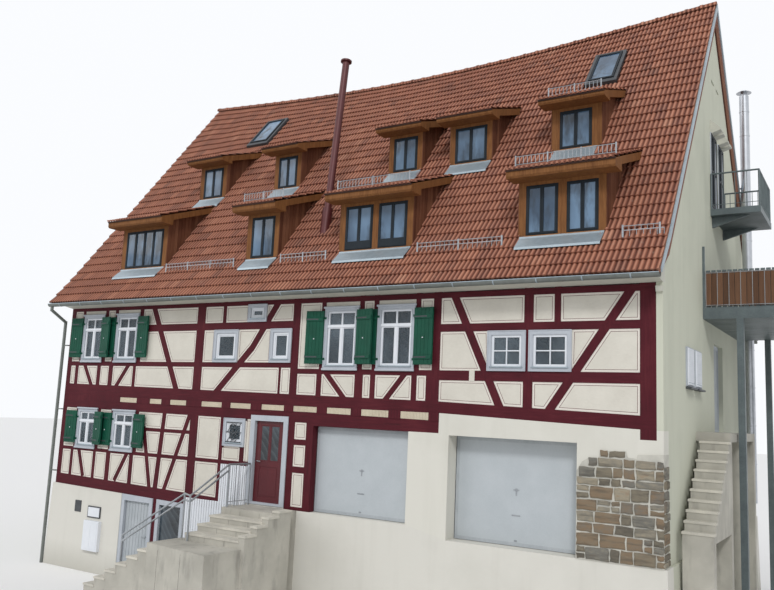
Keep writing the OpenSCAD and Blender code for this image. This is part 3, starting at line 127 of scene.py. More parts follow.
class Finish:
    def __init__(self, name, slot, shine=0.5):
        self.material = bpy.data.materials.new(name)
        self.material.use_nodes = True
        self.slot = slot
        self.tree = self.material.node_tree
        self.tree.nodes.clear()
        self.shader = self.tree.nodes.new("ShaderNodeBsdfPrincipled")
        out = self.tree.nodes.new("ShaderNodeOutputMaterial")
        self.tree.links.new(self.shader.outputs[0], out.inputs["Surface"])
        self.shader.inputs["Specular IOR Level"].default_value = shine
        self.place = self.node("ShaderNodeTexCoord", {}, {}, "Object")

    # Adds one node: its settings first, then its sockets by name or number, and gives one output
    def node(self, kind, settings, sockets, output=0):
        made = self.tree.nodes.new(kind)
        for key, value in settings.items():
            if key == "stops":
                ramp = made.color_ramp.elements
                while len(ramp) < len(value):
                    ramp.new(0.5)
                for stop, (position, shade) in zip(ramp, value):
                    stop.position = position
                    stop.color = (*shade, 1)
            else:
                setattr(made, key, value)
        for key, value in sockets.items():
            if isinstance(value, Wire):
                self.tree.links.new(value.socket, made.inputs[key])
            elif isinstance(value, tuple) and made.inputs[key].type == "RGBA":
                made.inputs[key].default_value = (*value, 1)
            else:
                made.inputs[key].default_value = value
        return Wire(self, made.outputs[output])

    # Object coordinates stretched per axis, so that grain can run along a board
    def coords(self, stretch=(1, 1, 1), shift=(0, 0, 0)):
        moved = self.node("ShaderNodeVectorMath", {"operation": "ADD"}, {0: self.place, 1: shift})
        return self.node("ShaderNodeVectorMath", {"operation": "MULTIPLY"}, {0: moved, 1: stretch})

    def noise(self, scale, detail=3.0, stretch=(1, 1, 1), rough=0.55, shift=(0, 0, 0), warp=0.0):
        return self.node("ShaderNodeTexNoise", {}, {"Vector": self.coords(stretch, shift), "Scale": scale,
                         "Detail": detail, "Roughness": rough, "Distortion": warp})

    def cells(self, scale, output):
        return self.node("ShaderNodeTexVoronoi", {}, {"Vector": self.coords(), "Scale": scale}, output)

    def axis(self, number):
        return self.node("ShaderNodeSeparateXYZ", {}, {0: self.place}, number)

    # The tint of each board, tile or stone
    def tint(self):
        return self.node("ShaderNodeAttribute", {"attribute_name": "tint"}, {}, "Fac")

    # Takes a factor from low..high to 0..1
    def spread(self, factor, low, high):
        return self.node("ShaderNodeMapRange", {"clamp": True}, {0: factor, 1: low, 2: high})

    def shades(self, factor, *stops):
        return self.node("ShaderNodeValToRGB", {"stops": stops}, {0: factor})

    def mix(self, first, second, factor):
        return self.node("ShaderNodeMix", {"data_type": "RGBA"}, {0: factor, 6: first, 7: second}, 2)

    def bump(self, height, distance):
        return self.node("ShaderNodeBump", {}, {"Height": height, "Distance": distance, "Strength": 1.0})

    def set(self, **wires):
        for key, wire in wires.items():
            socket = self.shader.inputs[key.replace("_", " ")]
            if isinstance(wire, Wire):
                self.tree.links.new(wire.socket, socket)
            elif isinstance(wire, tuple):
                socket.default_value = (*wire, 1)
            else:
                socket.default_value = wire


# Mesh building: a Shape gathers points and faces, with a tint for each face, and becomes one object
class Shape:
    def __init__(self):
        self.points = []
        self.faces = []
        self.tints = []
        self.tint = 0.5

    def add(self, points, faces):
        start = len(self.points)
        self.points += [Vector(p) for p in points]
        self.faces += [[start + i for i in face] for face in faces]
        self.tints += [self.tint] * len(faces)

    # A box from its low to its high corner, in metres, with its edges cut back
    def box(self, low, high, cut=0.0, turn=Matrix()):
        low, high = Vector(low), Vector(high)
        cut = min(cut, *(0.45 * length for length in high - low))
        if cut <= 0:
            ring = ((low.x, low.y), (high.x, low.y), (high.x, high.y), (low.x, high.y))
            self.add([turn @ Vector((x, y, z)) for z in (low.z, high.z) for x, y in ring],
                     [(3, 2, 1, 0), (4, 5, 6, 7), (0, 1, 5, 4), (1, 2, 6, 5), (2, 3, 7, 6), (3, 0, 4, 7)])
            return

        # Which end of each axis a corner lies at, given its end on one axis and on the other two
        def corner(axis, end, *others):
            return (*others[:axis], end, *others[axis:])

        ends = (0, 1)
        turning = ((0, 0), (1, 0), (1, 1), (0, 1))
        points, index = [], {}
        for axis, end, s, t in product(range(3), ends, ends, ends):
            key = corner(axis, end, s, t)
            back = [0 if i == axis else cut for i in range(3)]
            index[axis, key] = len(points)
            points.append(Vector([(low[i] + back[i], high[i] - back[i])[key[i]] for i in range(3)]))
        faces = [[index[axis, corner(axis, end, s, t)] for s, t in turning]
                 for axis, end in product(range(3), ends)]
        for axis, s, t in product(range(3), ends, ends):
            first, second = (i for i in range(3) if i != axis)
            near, far = corner(axis, 0, s, t), corner(axis, 1, s, t)
            faces.append([index[first, near], index[first, far], index[second, far], index[second, near]])
        faces += [[index[axis, key] for axis in range(3)] for key in product(ends, ends, ends)]
        middle = (low + high) / 2
        outward = []
        for face in faces:
            a, b, c = (points[i] for i in face[:3])
            reach = sum((points[i] for i in face), Vector()) / len(face) - middle
            outward.append(face if (b - a).cross(c - a).dot(reach) > 0 else face[::-1])
        self.add([turn @ p for p in points], outward)

    # A box in survey millimetres
    def boxAt(self, u0, u1, d0, d1, z0, z1, cut=0.0):
        self.box(at(u0, d0, z0), at(u1, d1, z1), cut / 1000)

    # An outline of points swept by a vector, closed at both ends
    def sweep(self, outline, way):
        way = Vector(way)
        near = [Vector(p) for p in outline]
        count = len(near)
        normal = Vector()
        for p, q in zip(near, near[1:] + near[:1]):
            normal += (p - near[0]).cross(q - near[0])
        if normal.dot(way) > 0:
            near = near[::-1]
        points = near + [p + way for p in near]
        faces = [list(range(count)), [2 * count - 1 - i for i in range(count)]]
        faces += [[(i + 1) % count, i, count + i, count + (i + 1) % count] for i in range(count)]
        self.add(points, faces)

    # A round bar along points, with closed ends
    def tube(self, points, radius, sides=10):
        points = [Vector(p) for p in points]
        radii = radius if isinstance(radius, list) else [radius] * len(points)
        rings = []
        lean = None
        for i, p in enumerate(points):
            ahead = (points[min(i + 1, len(points) - 1)] - points[max(i - 1, 0)]).normalized()
            lean = ahead.orthogonal().normalized() if lean is None else lean
            lean = (lean - ahead * lean.dot(ahead)).normalized()
            other = ahead.cross(lean)
            turns = [2 * math.pi * k / sides for k in range(sides)]
            rings.append([p + (lean * math.cos(a) + other * math.sin(a)) * radii[i] for a in turns])
        last = (len(points) - 1) * sides
        faces = [[i + k, i + (k + 1) % sides, i + sides + (k + 1) % sides, i + sides + k]
                 for i in range(0, last, sides) for k in range(sides)]
        faces += [list(range(sides))[::-1], [last + k for k in range(sides)]]
        self.add([p for ring in rings for p in ring], faces)

    def build(self, name, finish, body="house"):
        mesh = bpy.data.meshes.new(name)
        mesh.from_pydata(self.points, [], self.faces)
        mesh.attributes.new("tint", "FLOAT", "FACE").data.foreach_set("value", self.tints)
        mesh.materials.append(finish.material)
        mesh.update()
        made = newObject(name, mesh)
        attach(made, body)
        return made


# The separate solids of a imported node, each with its corners and its flat faces
def solidsOf(node):
    mesh = bmesh.new()
    mesh.from_mesh(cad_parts[node].data)
    bmesh.ops.remove_doubles(mesh, verts=mesh.verts, dist=0.0002)
    bmesh.ops.dissolve_limit(mesh, angle_limit=0.02, verts=mesh.verts, edges=mesh.edges)
    mesh.faces.index_update()
    found = []
    seen = set()
    for start in mesh.verts:
        if start.index in seen:
            continue
        seen.add(start.index)
        group = [start]
        for vert in group:
            for edge in vert.link_edges:
                other = edge.other_vert(vert)
                if other.index not in seen:
                    seen.add(other.index)
                    group.append(other)
        faces = sorted({face for vert in group for face in vert.link_faces}, key=lambda face: face.index)
        low = Vector([min(v.co[i] for v in group) for i in range(3)])
        high = Vector([max(v.co[i] for v in group) for i in range(3)])
        found.append({"low": low, "high": high, "size": high - low, "mid": (low + high) / 2,
                      "faces": [([v.co.copy() for v in face.verts], face.normal.copy()) for face in faces]})
    mesh.free()
    return sorted(found, key=lambda s: tuple(round(c, 3) for c in s["mid"]))


# The outlines of a solid's faces that look one way
def facing(solid, *way):
    return [points for points, normal in solid["faces"] if normal.dot(Vector(way)) > house["straight"]]


# The heights at which a plane across x cuts an outline
def cutsOf(points, x):
    return sorted(p.z + (q.z - p.z) * (x - p.x) / (q.x - p.x)
                  for p, q in zip(points, points[1:] + points[:1]) if (p.x - x) * (q.x - x) < 0)


# The height of a packed surface over a place
def surfaceOf(node):
    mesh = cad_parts[node].data
    tree = BVHTree.FromPolygons([v.co.copy() for v in mesh.vertices], [p.vertices[:] for p in mesh.polygons])
    above, down, missed = 40, Vector((0, 0, -1)), Vector((0, 0, -99))
    return lambda x, y: (tree.ray_cast(Vector((x, y, above)), down)[0] or missed).z


def dress(nodes, *finishes):
    for node in nodes.split():
        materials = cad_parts[node].data.materials
        materials.clear()
        for finish in finishes:
            materials.append(finish.material)


# One node in two finishes: the second takes the faces whose middle passes the test
def dressTwice(node, first, second, test):
    dress(node, first, second)
    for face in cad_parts[node].data.polygons:
        face.material_index = int(test(face.center))


# A local frame: x to the right, y inward, z up
def localFrame(origin, right, inward, up=(0, 0, 1)):
    turn = Matrix([Vector(way) for way in (right, inward, up)]).transposed().to_4x4()
    return Matrix.Translation(origin) @ turn


makeCamera()
print("camera set")

# Roof covering: two-wave clay tiles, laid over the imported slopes
tiles = {"cover": 0.333, "wide": 0.210, "waves": 2, "steps": 6, "swell": 0.024, "crest": 0.8, "lip": 0.0396,
         "lift": 0.052, "tail": 0.012, "past": 0.04, "jitter": 0.003, "narrow": 0.02, "lap": 0.02,
         "gap": 0.01, "inner": 0.004, "droop": 1.2}
ridge = {"long": 0.37, "radius": 0.135, "rise": 0.035, "sink": 0.045, "flat": 0.8, "lip": 0.016, "steps": 9,
         "collar": 0.05, "lap": 0.02, "from": -8, "sweep": 196}


def randomTint(spread):
    return min(1, max(0, dice.gauss(0.5, spread)))


# The stretches of a course that no dormer or skylight takes; blocks hold x0, x1, y0, y1
def freeSpans(first, last, toward, blocks):
    spans = [(first, last)]
    for block in blocks:
        start, stop = block[2:] if toward > 0 else block[:1:-1]
        cut = []
        for s, t in spans:
            if (start - s) * toward > tiles["gap"]:
                cut.append((s, start if (t - start) * toward > 0 else t))
            if (t - stop) * toward > tiles["gap"]:
                cut.append((stop if (stop - s) * toward > 0 else s, t))
        spans = cut
    return spans


# Rows of tiles from a lower edge up a slope
def layTiles(shape, height, x0, x1, y0, y1, toward, slope, blocked):
    wide, pitch = tiles["wide"], tiles["wide"] / tiles["waves"]
    plan = tiles["cover"] / math.sqrt(1 + slope * slope)
    normal = Vector((0, -slope * toward, 1)).normalized()
    turning = [(0, 1, 2, 3) if toward > 0 else (3, 2, 1, 0)]
    for course in range(math.ceil((y1 - y0) * toward / plan)):
        low, high = y0 + toward * course * plan, y0 + toward * (course + 1) * plan
        top = low + toward * min(plan, (y1 - low) * toward)
        near = [b for b in blocked if min(low, high) < b[3] and max(low, high) > b[2]]
        for number in range(math.floor(x0 / wide), math.ceil(x1 / wide)):
            shape.tint = randomTint(0.2)
            up = dice.uniform(0, tiles["jitter"])
            slip = toward * dice.uniform(-tiles["jitter"], tiles["jitter"])
            left, right = max(x0, number * wide), min(x1, (number + 1) * wide)
            if right - left < tiles["narrow"]:
                continue
            count = max(1, round((right - left) / pitch * tiles["steps"]))
            xs = [between(left, right, k, count) for k in range(count + 1)]
            waves = [tiles["swell"] * (0.5 - 0.5 * math.cos(2 * math.pi * x / pitch)) ** tiles["crest"]
                     for x in xs]
            grounds = {}
            for k in range(count):
                here = [b for b in near if b[0] < (xs[k] + xs[k + 1]) / 2 < b[1]]
                for s, t in freeSpans(low, top, toward, here):
                    corners = []
                    for x, wave in zip(xs[k:k + 2], waves[k:k + 2]):
                        for y in (s, t):
                            key = (round(x, 4), round(y, 4))
                            if key not in grounds:
                                grounds[key] = height(x, y)
                            share = (y - low) * toward / plan
                            rise = wave + tiles["lift"] * (1 - share) + tiles["tail"] * share + up
                            corners.append(Vector((x, y + slip, grounds[key])) + normal * rise)
                    a, b, c, d = corners
                    shape.add([a, c, d, b], turning)
                    if s == low:
                        lip = normal * -tiles["lip"]
                        shape.add([a + lip, c + lip, c, a], turning)


# Joins the faces of a mesh and shades it smooth, but for its sharper edges
def smoothOver(made):
    mesh = bmesh.new()
    mesh.from_mesh(made.data)
    bmesh.ops.remove_doubles(mesh, verts=mesh.verts, dist=0.0001)
    for face in mesh.faces:
        face.smooth = True
    for edge in mesh.edges:
        if len(edge.link_faces) == 2 and edge.calc_face_angle(0) > 0.9:
            edge.smooth = False
    mesh.to_mesh(made.data)
    mesh.free()


def clayFinish():
    f = Finish("tileClay", "roof_tile", 0.2)
    patches = f.noise(0.35, 3)
    smear = f.noise(2.2, 4, (1, 1, 0.5))
    grit = f.noise(60, 2)
    tone = (f.tint() * 0.62 + patches * 0.25 + smear * 0.22).clamp()
    base = f.shades(tone, (0.14, (0.11, 0.042, 0.03)), (0.36, (0.2, 0.064, 0.04)),
                    (0.56, (0.285, 0.096, 0.055)), (0.78, (0.37, 0.138, 0.08)), (1.0, (0.46, 0.23, 0.15)))
    trough = (f.axis(0) * (2 * math.pi * tiles["waves"] / tiles["wide"])).cosine()
    # Painted shade darkens the troughs between the waves, where the crests shade them
    base = f.mix(base, (0.045, 0.02, 0.016), ((trough * 0.5 + 0.5) ** 1.6) * 0.72)
    # A painted highlight lightens the crests, which gives the roof its slanting stripes
    base = f.mix(base, (0.6, 0.335, 0.235), ((trough * -0.5 + 0.5) ** 2.4) * 0.42)
    lichen = f.spread(f.noise(9, 5), 0.6, 0.78) * f.spread(patches, 0.45, 0.62)
    base = f.mix(base, (0.33, 0.28, 0.22), lichen * 0.5)
    f.set(Base_Color=f.mix(base, (0.09, 0.05, 0.04), f.spread(grit, 0.62, 0.8) * 0.4),
          Roughness=0.62 + grit * 0.2, Normal=f.bump(grit + smear * 0.5, 0.002))
    return f


tileClay = clayFinish()
dormerFit = {"side": 0.03, "cheek": 0.1, "behind": 0.2, "front": 0.02, "meet": 0.24, "near": 0.05}
skylightFit = {"low": 9.5, "front": -0.8, "tall": 0.7, "deep": 0.6, "wide": 0.9, "rim": 0.09, "head": 0.07}


def dormerOf(roof):
    pair = [c for c in dormerCheeks if roof["low"].x < c["mid"].x < roof["high"].x
            and c["mid"].y * roof["mid"].y > 0 and roof["low"].y < c["mid"].y < roof["high"].y
            and c["high"].z < roof["high"].z + dormerFit["near"]]
    toward = 1 if roof["mid"].y < 0 else -1
    fronts = [c["low" if toward > 0 else "high"].y for c in pair]
    wall = min(fronts, key=lambda y: y * toward) - toward * house["wall"]
    edge, meet = (roof["low"].y, roof["high"].y)[::toward]
    return {"x0": min(c["low"].x for c in pair), "x1": max(c["high"].x for c in pair), "toward": toward,
            "wall": wall, "edge": edge, "meet": meet, "roof": roof, "cheeks": pair}


dormerCheeks = solidsOf("dormer_cheeks")
dormers = [dormerOf(roof) for roof in solidsOf("dormer_roofs")]
skylights = [s for s in solidsOf("window_frames")
             if s["low"].z > skylightFit["low"] and s["mid"].y < skylightFit["front"]
             and s["size"].z > skylightFit["tall"] and s["size"].y > skylightFit["deep"]
             and s["size"].x < skylightFit["wide"]]


# The rectangles of a slope that take no tile
def blocksOf(toward):
    t = dormerFit
    blocks = []
    for d in dormers:
        if d["toward"] != toward:
            continue
        front, meet, roof = d["wall"] + toward * t["front"], d["meet"] - toward * t["side"], d["roof"]
        behind = front - toward * t["behind"]
        for x0, x1, near, far in ((d["x0"] + t["side"], d["x1"] - t["side"], front, meet),
                                  (d["x0"] + t["cheek"], d["x1"] - t["cheek"], front, behind),
                                  (roof["low"].x, roof["high"].x, meet, d["meet"] - toward * t["meet"])):
            blocks.append((x0, x1, min(near, far), max(near, far)))
    if toward > 0:
        rim = skylightFit["rim"]
        blocks += [(s["low"].x - rim, s["high"].x + rim, s["low"].y - rim, s["high"].y + skylightFit["head"])
                   for s in skylights]
    return blocks


def coverSlope(node, name, toward):
    low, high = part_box(node)
    height = surfaceOf(node)
    edge = low.y if toward > 0 else high.y
    back = tiles["inner"]
    inner = edge + toward * back

    # The slope goes on past its eaves and stays level at its ends
    def ground(x, y):
        x = min(max(x, low.x + back), high.x - back)
        if (y - inner) * toward < 0:
            return height(x, inner) + (y - inner) * toward * tiles["droop"]
        return height(x, -toward * back if (y + toward * back) * toward > 0 else y)

    shape = Shape()
    layTiles(shape, ground, low.x + tiles["gap"], high.x - tiles["gap"], edge - toward * tiles["past"],
             toward * -tiles["lap"], toward, house["slope"], blocksOf(toward))
    smoothOver(shape.build(name, tileClay))
    print(name, len(shape.faces))


def coverDormers():
    shape = Shape()
    for d in dormers:
        toward, roof = d["toward"], d["roof"]
        points, normal = max((f for f in roof["faces"] if f[1].z > 0.9), key=lambda f: max(p.z for p in f[0]))
        base = points[0]
        layTiles(shape, lambda x, y: base.z - ((x - base.x) * normal.x + (y - base.y) * normal.y) / normal.z,
                 roof["low"].x + tiles["gap"] / 2, roof["high"].x - tiles["gap"] / 2,
                 d["edge"] - toward * tiles["past"], d["meet"] + toward * tiles["lap"], toward,
                 -normal.y * toward / normal.z, [])
    smoothOver(shape.build("dormerTiles", tileClay))
    print("dormer tiles", len(shape.faces))


def layRidge():
    t = ridge
    shape = Shape()
    height = surfaceOf("roof_front")
    low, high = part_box("roof_front")
    count = round((high.x - low.x) / t["long"])
    step = (high.x - low.x) / count
    wide = t["steps"] + 1
    for n in range(count):
        shape.tint = randomTint(0.22)
        x0 = low.x + n * step
        points = []
        for x, grow in ((x0 - t["lap"], t["lip"]), (x0 + t["collar"], t["lip"]),
                        (x0 + t["collar"] + 0.005, 0), (x0 + step + t["lap"] / 2, 0)):
            z = height(min(max(x, low.x + t["lap"] / 2), high.x - t["lap"] / 2), -0.01) + t["rise"]
            r = t["radius"] + grow
            for k in range(wide):
                a = math.radians(t["from"] + t["sweep"] * k / t["steps"])
                points.append((x, -math.cos(a) * r, z - t["sink"] + math.sin(a) * r * t["flat"]))
        faces = [[i * wide + k, (i + 1) * wide + k, (i + 1) * wide + k + 1, i * wide + k + 1]
                 for i in range(3) for k in range(wide - 1)]
        faces += [list(range(wide)), [3 * wide + k for k in range(wide)][::-1]]
        shape.add(points, faces)
    smoothOver(shape.build("ridgeTiles", tileClay))


coverSlope("roof_front", "frontTiles", 1)
coverSlope("roof_rear", "rearTiles", -1)
coverDormers()
layRidge()
print("roof covered")


# Finishes. The grain of the frame's timbers runs along them
def timber(name, run):
    f = Finish(name, "painted_timber", 0.15)
    grain = f.noise(26, 5, run, 0.6)
    cloud = f.noise(1.3, 3)
    crack = f.spread(f.noise(9, 6, run, 0.75, (3, 1, 7)), 0.6, 0.68)
    tone = (grain * 0.55 + cloud * 0.45).clamp()
    red = f.shades(tone, (0.25, (0.045, 0.0065, 0.01)), (0.5, (0.072, 0.009, 0.015)),
                   (0.78, (0.115, 0.02, 0.026)))
    f.set(Base_Color=f.mix(red, (0.035, 0.008, 0.01), crack * 0.6), Roughness=0.48 + grain * 0.25,
          Normal=f.bump(grain - crack * 0.8, 0.003))
    return f


def lime(name, first, second):
    f = Finish(name, "panel_plaster", 0.25)
    cloud = f.noise(1.7, 4)
    trowel = f.noise(14, 5, (1, 1, 1.6), 0.6, (0, 0, 0), 0.6)
    fine = f.noise(120, 2)
    tone = (cloud * 0.7 + trowel * 0.3).clamp()
    f.set(Base_Color=f.mix(first, second, f.spread(tone, 0.32, 0.68)), Roughness=0.82,
          Normal=f.bump(trowel * 0.8 + fine * 0.15, 0.004))
    return f


def ink():
    f = Finish("lineInk", "painted_timber")
    f.set(Base_Color=f.mix((0.1, 0.03, 0.035), (0.2, 0.09, 0.09), f.spread(f.noise(14, 4), 0.35, 0.7)),
          Roughness=0.8)
    return f


# Rendered walls, dirty up to a height above the ground
def plaster(name, slot, clean, worn, dirtTop):
    f = Finish(name, slot, 0.25)
    height = f.axis(2)
    cloud = f.noise(0.55, 4)
    streak = f.noise(3.2, 4, (1, 1, 0.09))
    fine = f.noise(90, 3)
    lumps = f.noise(6, 4)
    low = f.spread(height, dirtTop, 0.0) * (0.35 + cloud * 0.9)
    mark = (f.spread(cloud, 0.48, 0.75) * 0.55 + f.spread(streak, 0.52, 0.8) * 0.35).clamp()
    f.set(Base_Color=f.mix(f.mix(clean, worn, mark), (0.27, 0.26, 0.215), (low * 0.55).clamp()),
          Roughness=0.85, Normal=f.bump(fine * 0.25 + lumps * 0.7, 0.005))
    return f


def paint(name, slot, light, dark, run=(1, 1, 0.12), gloss=0.42, depth=0.0012, shine=0.4):
    f = Finish(name, slot, shine)
    grain = f.noise(40, 4, run)
    cloud = f.noise(2.4, 3)
    f.set(Base_Color=f.mix(light, dark, f.spread(cloud * 0.6 + grain * 0.4, 0.35, 0.68)),
          Roughness=gloss + grain * 0.22, Normal=f.bump(grain, depth))
    return f


# Boards in three shades, from dark to pale
def boards(name, slot, shine, shades, run=(1, 1, 0.1), stops=(0.25, 0.55, 0.85)):
    f = Finish(name, slot, shine)
    grain = f.noise(30, 6, run, 0.65)
    ring = f.noise(7, 3, run, 0.5, (5, 2, 1), 1.2)
    tone = (grain * 0.45 + ring * 0.25 + f.tint() * 0.4).clamp()
    f.set(Base_Color=f.shades(tone, *zip(stops, shades)), Roughness=0.55 + grain * 0.2,
          Normal=f.bump(grain, 0.0018))
    return f


def metal(name, slot, light, dark, metallic, scale=9, gloss=0.35, shine=0.5):
    f = Finish(name, slot, shine)
    flakes = f.cells(scale * 4, "Color")
    cloud = f.noise(scale * 0.3, 4)
    grey = f.node("ShaderNodeSeparateColor", {}, {0: flakes}, 0)
    f.set(Base_Color=f.mix(light, dark, (grey * 0.35 + f.spread(cloud, 0.35, 0.7) * 0.65).clamp()),
          Roughness=gloss + cloud * 0.25, Metallic=metallic, Normal=f.bump(cloud, 0.0008))
    return f


# Windows of the storeys are painted with the shade of a dark room behind, a slanting painted sheen and
# patches of painted reflection
def darkGlass():
    f = Finish("roomDark", "glass", 0.7)
    slant = (f.axis(0) * 5.2 + f.axis(1) * 5.2 + f.axis(2) * 4.4 + f.noise(2.6, 3) * 1.8).fraction()
    paintedGlare = f.spread(f.noise(0.9, 2), 0.42, 0.62)
    dark = f.mix((0.012, 0.017, 0.022), (0.045, 0.055, 0.062), f.spread(slant, 0.45, 0.95))
    f.set(Base_Color=f.mix(dark, (0.1, 0.14, 0.17), paintedGlare * 0.5), Roughness=0.08)
    return f


def clearGlass():
    f = Finish("clearPane", "glass", 0.8)
    f.set(Base_Color=f.mix((0.05, 0.075, 0.095), (0.16, 0.21, 0.25), f.spread(f.noise(0.7, 2), 0.4, 0.65)),
          Roughness=0.03, Alpha=0.3)
    return f


# Windows in the roof are painted with a reflection of the sky, with patches of painted shade from the room
# behind
def skyGlass():
    f = Finish("skyPane", "glass", 0.6)
    depth = f.spread(f.noise(1.1, 3, (1, 1, 0.5)), 0.38, 0.62)
    room = f.spread(f.noise(2.2, 4, (1, 1, 0.35), 0.6, (4, 2, 9)), 0.5, 0.66)
    skyReflection = f.mix((0.035, 0.07, 0.12), (0.13, 0.22, 0.33), depth)
    f.set(Base_Color=f.mix(skyReflection, (0.012, 0.018, 0.025), room * 0.85), Roughness=0.05)
    return f


def concrete():
    f = Finish("concreteCast", "concrete", 0.25)
    cloud = f.noise(1.1, 5)
    stain = f.noise(4, 5, (1, 1, 0.3))
    grit = f.noise(70, 3)
    pores = f.spread(f.cells(38, 0), 0.0, 0.16)
    cast = f.mix((0.5, 0.48, 0.42), (0.37, 0.355, 0.31), f.spread(cloud, 0.35, 0.65))
    f.set(Base_Color=f.mix(cast, (0.17, 0.165, 0.15), f.spread(stain, 0.55, 0.8) * 0.6), Roughness=0.88,
          Normal=f.bump(grit * 0.4 + pores * 0.5, 0.004))
    return f


timberUpright = timber("timberUpright", (1, 1, 0.08))
timberLevel = timber("timberLevel", (0.08, 1, 1))
timberSlant = timber("timberSlant", (0.5, 1, 0.2))
panelLime = lime("panelLime", (0.57, 0.54, 0.472), (0.67, 0.64, 0.565))
marginLime = lime("marginLime", (0.67, 0.63, 0.56), (0.73, 0.69, 0.62))
lineInk = ink()
basePlaster = plaster("basePlaster", "base_plaster", (0.64, 0.624, 0.567), (0.53, 0.517, 0.462), 0.7)
pierPlaster = plaster("pierPlaster", "base_plaster", (0.65, 0.635, 0.57), (0.545, 0.53, 0.465), 0.7)
gablePlaster = plaster("gablePlaster", "gable_plaster", (0.55, 0.56, 0.46), (0.43, 0.445, 0.36), 2.6)
eavesPaint = paint("eavesPaint", "eaves_paint", (0.55, 0.545, 0.47), (0.47, 0.465, 0.4), (0.1, 1, 1),
                   shine=0.35)
casingPaint = paint("casingPaint", "window_paint", (0.46, 0.49, 0.53), (0.38, 0.41, 0.45))
sashPaint = paint("sashPaint", "window_paint", (0.74, 0.76, 0.79), (0.66, 0.69, 0.73), shine=0.45)
sashDark = paint("sashDark", "window_paint", (0.009, 0.014, 0.019), (0.016, 0.022, 0.028), shine=0.2)
shutterPaint = paint("shutterPaint", "shutter_paint", (0.004, 0.078, 0.045), (0.003, 0.052, 0.03), shine=0.25)
doorPaint = paint("doorPaint", "door_paint", (0.1, 0.008, 0.013), (0.065, 0.006, 0.01), gloss=0.3, shine=0.45)
garagePaint = paint("garagePaint", "garage_paint", (0.46, 0.495, 0.515), (0.41, 0.445, 0.465), (1, 1, 1),
                    0.45, 0.0004)
plankPaint = paint("plankPaint", "plank_paint", (0.42, 0.45, 0.47), (0.33, 0.36, 0.38), shine=0.35)
gapBoards = paint("gapBoards", "panel_plaster", (0.62, 0.55, 0.42), (0.5, 0.43, 0.32), shine=0.3)
roomDark, clearPane, skyPane = darkGlass(), clearGlass(), skyGlass()
honeyWood = boards("honeyWood", "oiled_wood", 0.2,
                   [(0.13, 0.05, 0.015), (0.29, 0.128, 0.043), (0.43, 0.22, 0.09)])
cheekWood = boards("cheekWood", "cheek_wood", 0.15,
                   [(0.075, 0.026, 0.014), (0.14, 0.055, 0.03), (0.22, 0.1, 0.055)])
balconyWood = boards("balconyWood", "oiled_wood", 0.3,
                     [(0.06, 0.028, 0.014), (0.11, 0.052, 0.026), (0.17, 0.085, 0.045)])
beamWood = boards("beamWood", "oak_timber", 0.5,
                  [(0.05, 0.03, 0.018), (0.12, 0.07, 0.04), (0.2, 0.12, 0.07)], (1, 0.1, 1), (0.25, 0.6, 0.9))
zincSheet = metal("zincSheet", "zinc", (0.4, 0.47, 0.51), (0.29, 0.345, 0.38), 0.55, 3)
gutterZinc = metal("gutterZinc", "zinc", (0.2, 0.215, 0.2), (0.13, 0.14, 0.13), 0.4, 3, shine=0.3)
# Dark sheet for the painted shadow under the tile edges over the dormer fascias
tileEdgeShadow = metal("tileEdgeShadow", "roof_tile", (0.07, 0.035, 0.026), (0.035, 0.02, 0.016), 0.0, 3, shine=0.15)
galvanised = metal("galvanised", "galvanised", (0.4, 0.42, 0.44), (0.27, 0.29, 0.31), 0.7)
darkMetal = metal("darkMetal", "dark_metal", (0.075, 0.08, 0.085), (0.04, 0.044, 0.05), 0.3)
balconySteel = metal("balconySteel", "dark_metal", (0.13, 0.16, 0.165), (0.085, 0.105, 0.11), 0.35)
flueRed = metal("flueRed", "flue_metal", (0.1, 0.02, 0.02), (0.065, 0.014, 0.016), 0.2, 2)
steelBright = metal("steelBright", "flue_metal", (0.55, 0.57, 0.6), (0.4, 0.42, 0.45), 0.85, 2, 0.22)
concreteCast = concrete()

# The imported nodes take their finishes; the rings of windows are dark in the roof, blue elsewhere,
# the floors are boards above the garages, and the leaning flue is painted red
places = {"ringDark": 7.4, "doorHigh": 9.6, "gable": 8, "boardsUp": 2.1, "flueSplit": 4}


def isRoofRing(place):
    return place.z > places["ringDark"] and not (place.x > places["gable"] and place.z > places["doorHigh"])


for nodes, finish in (
        ("front_posts", timberUpright), ("front_plates front_rails", timberLevel),
        ("front_braces rear_timbers", timberSlant), ("front_panels rear_panels", panelLime),
        ("base_wall_front rear_base_wall", basePlaster), ("garage_piers garage_lintel", pierPlaster),
        ("left_gable_wall right_gable_base right_gable_piers right_gable_upper", gablePlaster),
        ("eaves_boxes", eavesPaint), ("gutters", gutterZinc), ("verge_trim", zincSheet),
        ("snow_guards garage_frames stair_railing", galvanised), ("shutters", shutterPaint),
        ("entrance_door", doorPaint), ("garage_door_left garage_door_right", garagePaint),
        ("cellar_door gable_door", plankPaint), ("door_frames", casingPaint), ("window_glass", roomDark),
        ("dormer_fronts dormer_roofs", honeyWood), ("dormer_cheeks", cheekWood),
        ("roof_front roof_rear", tileClay), ("balcony terrace gable_railings", balconySteel),
        ("gable_stair entrance_stair", concreteCast), ("floor_beams", beamWood)):
    dress(nodes, finish)
dressTwice("window_frames", casingPaint, sashDark, isRoofRing)
dressTwice("floors", honeyWood, concreteCast, lambda place: place.z < places["boardsUp"])
dressTwice("flues", steelBright, flueRed, lambda place: place.x < places["flueSplit"])
print("finishes ready")

# Painted borders of the front and rear panels: a pale margin and a thin dark line inside it
borders = {"margin": 0.042, "line": 0.009, "proud": 0.0012, "lineProud": 0.00216, "back": 0.001,
           "smallest": 0.16, "shortest": 0.015}


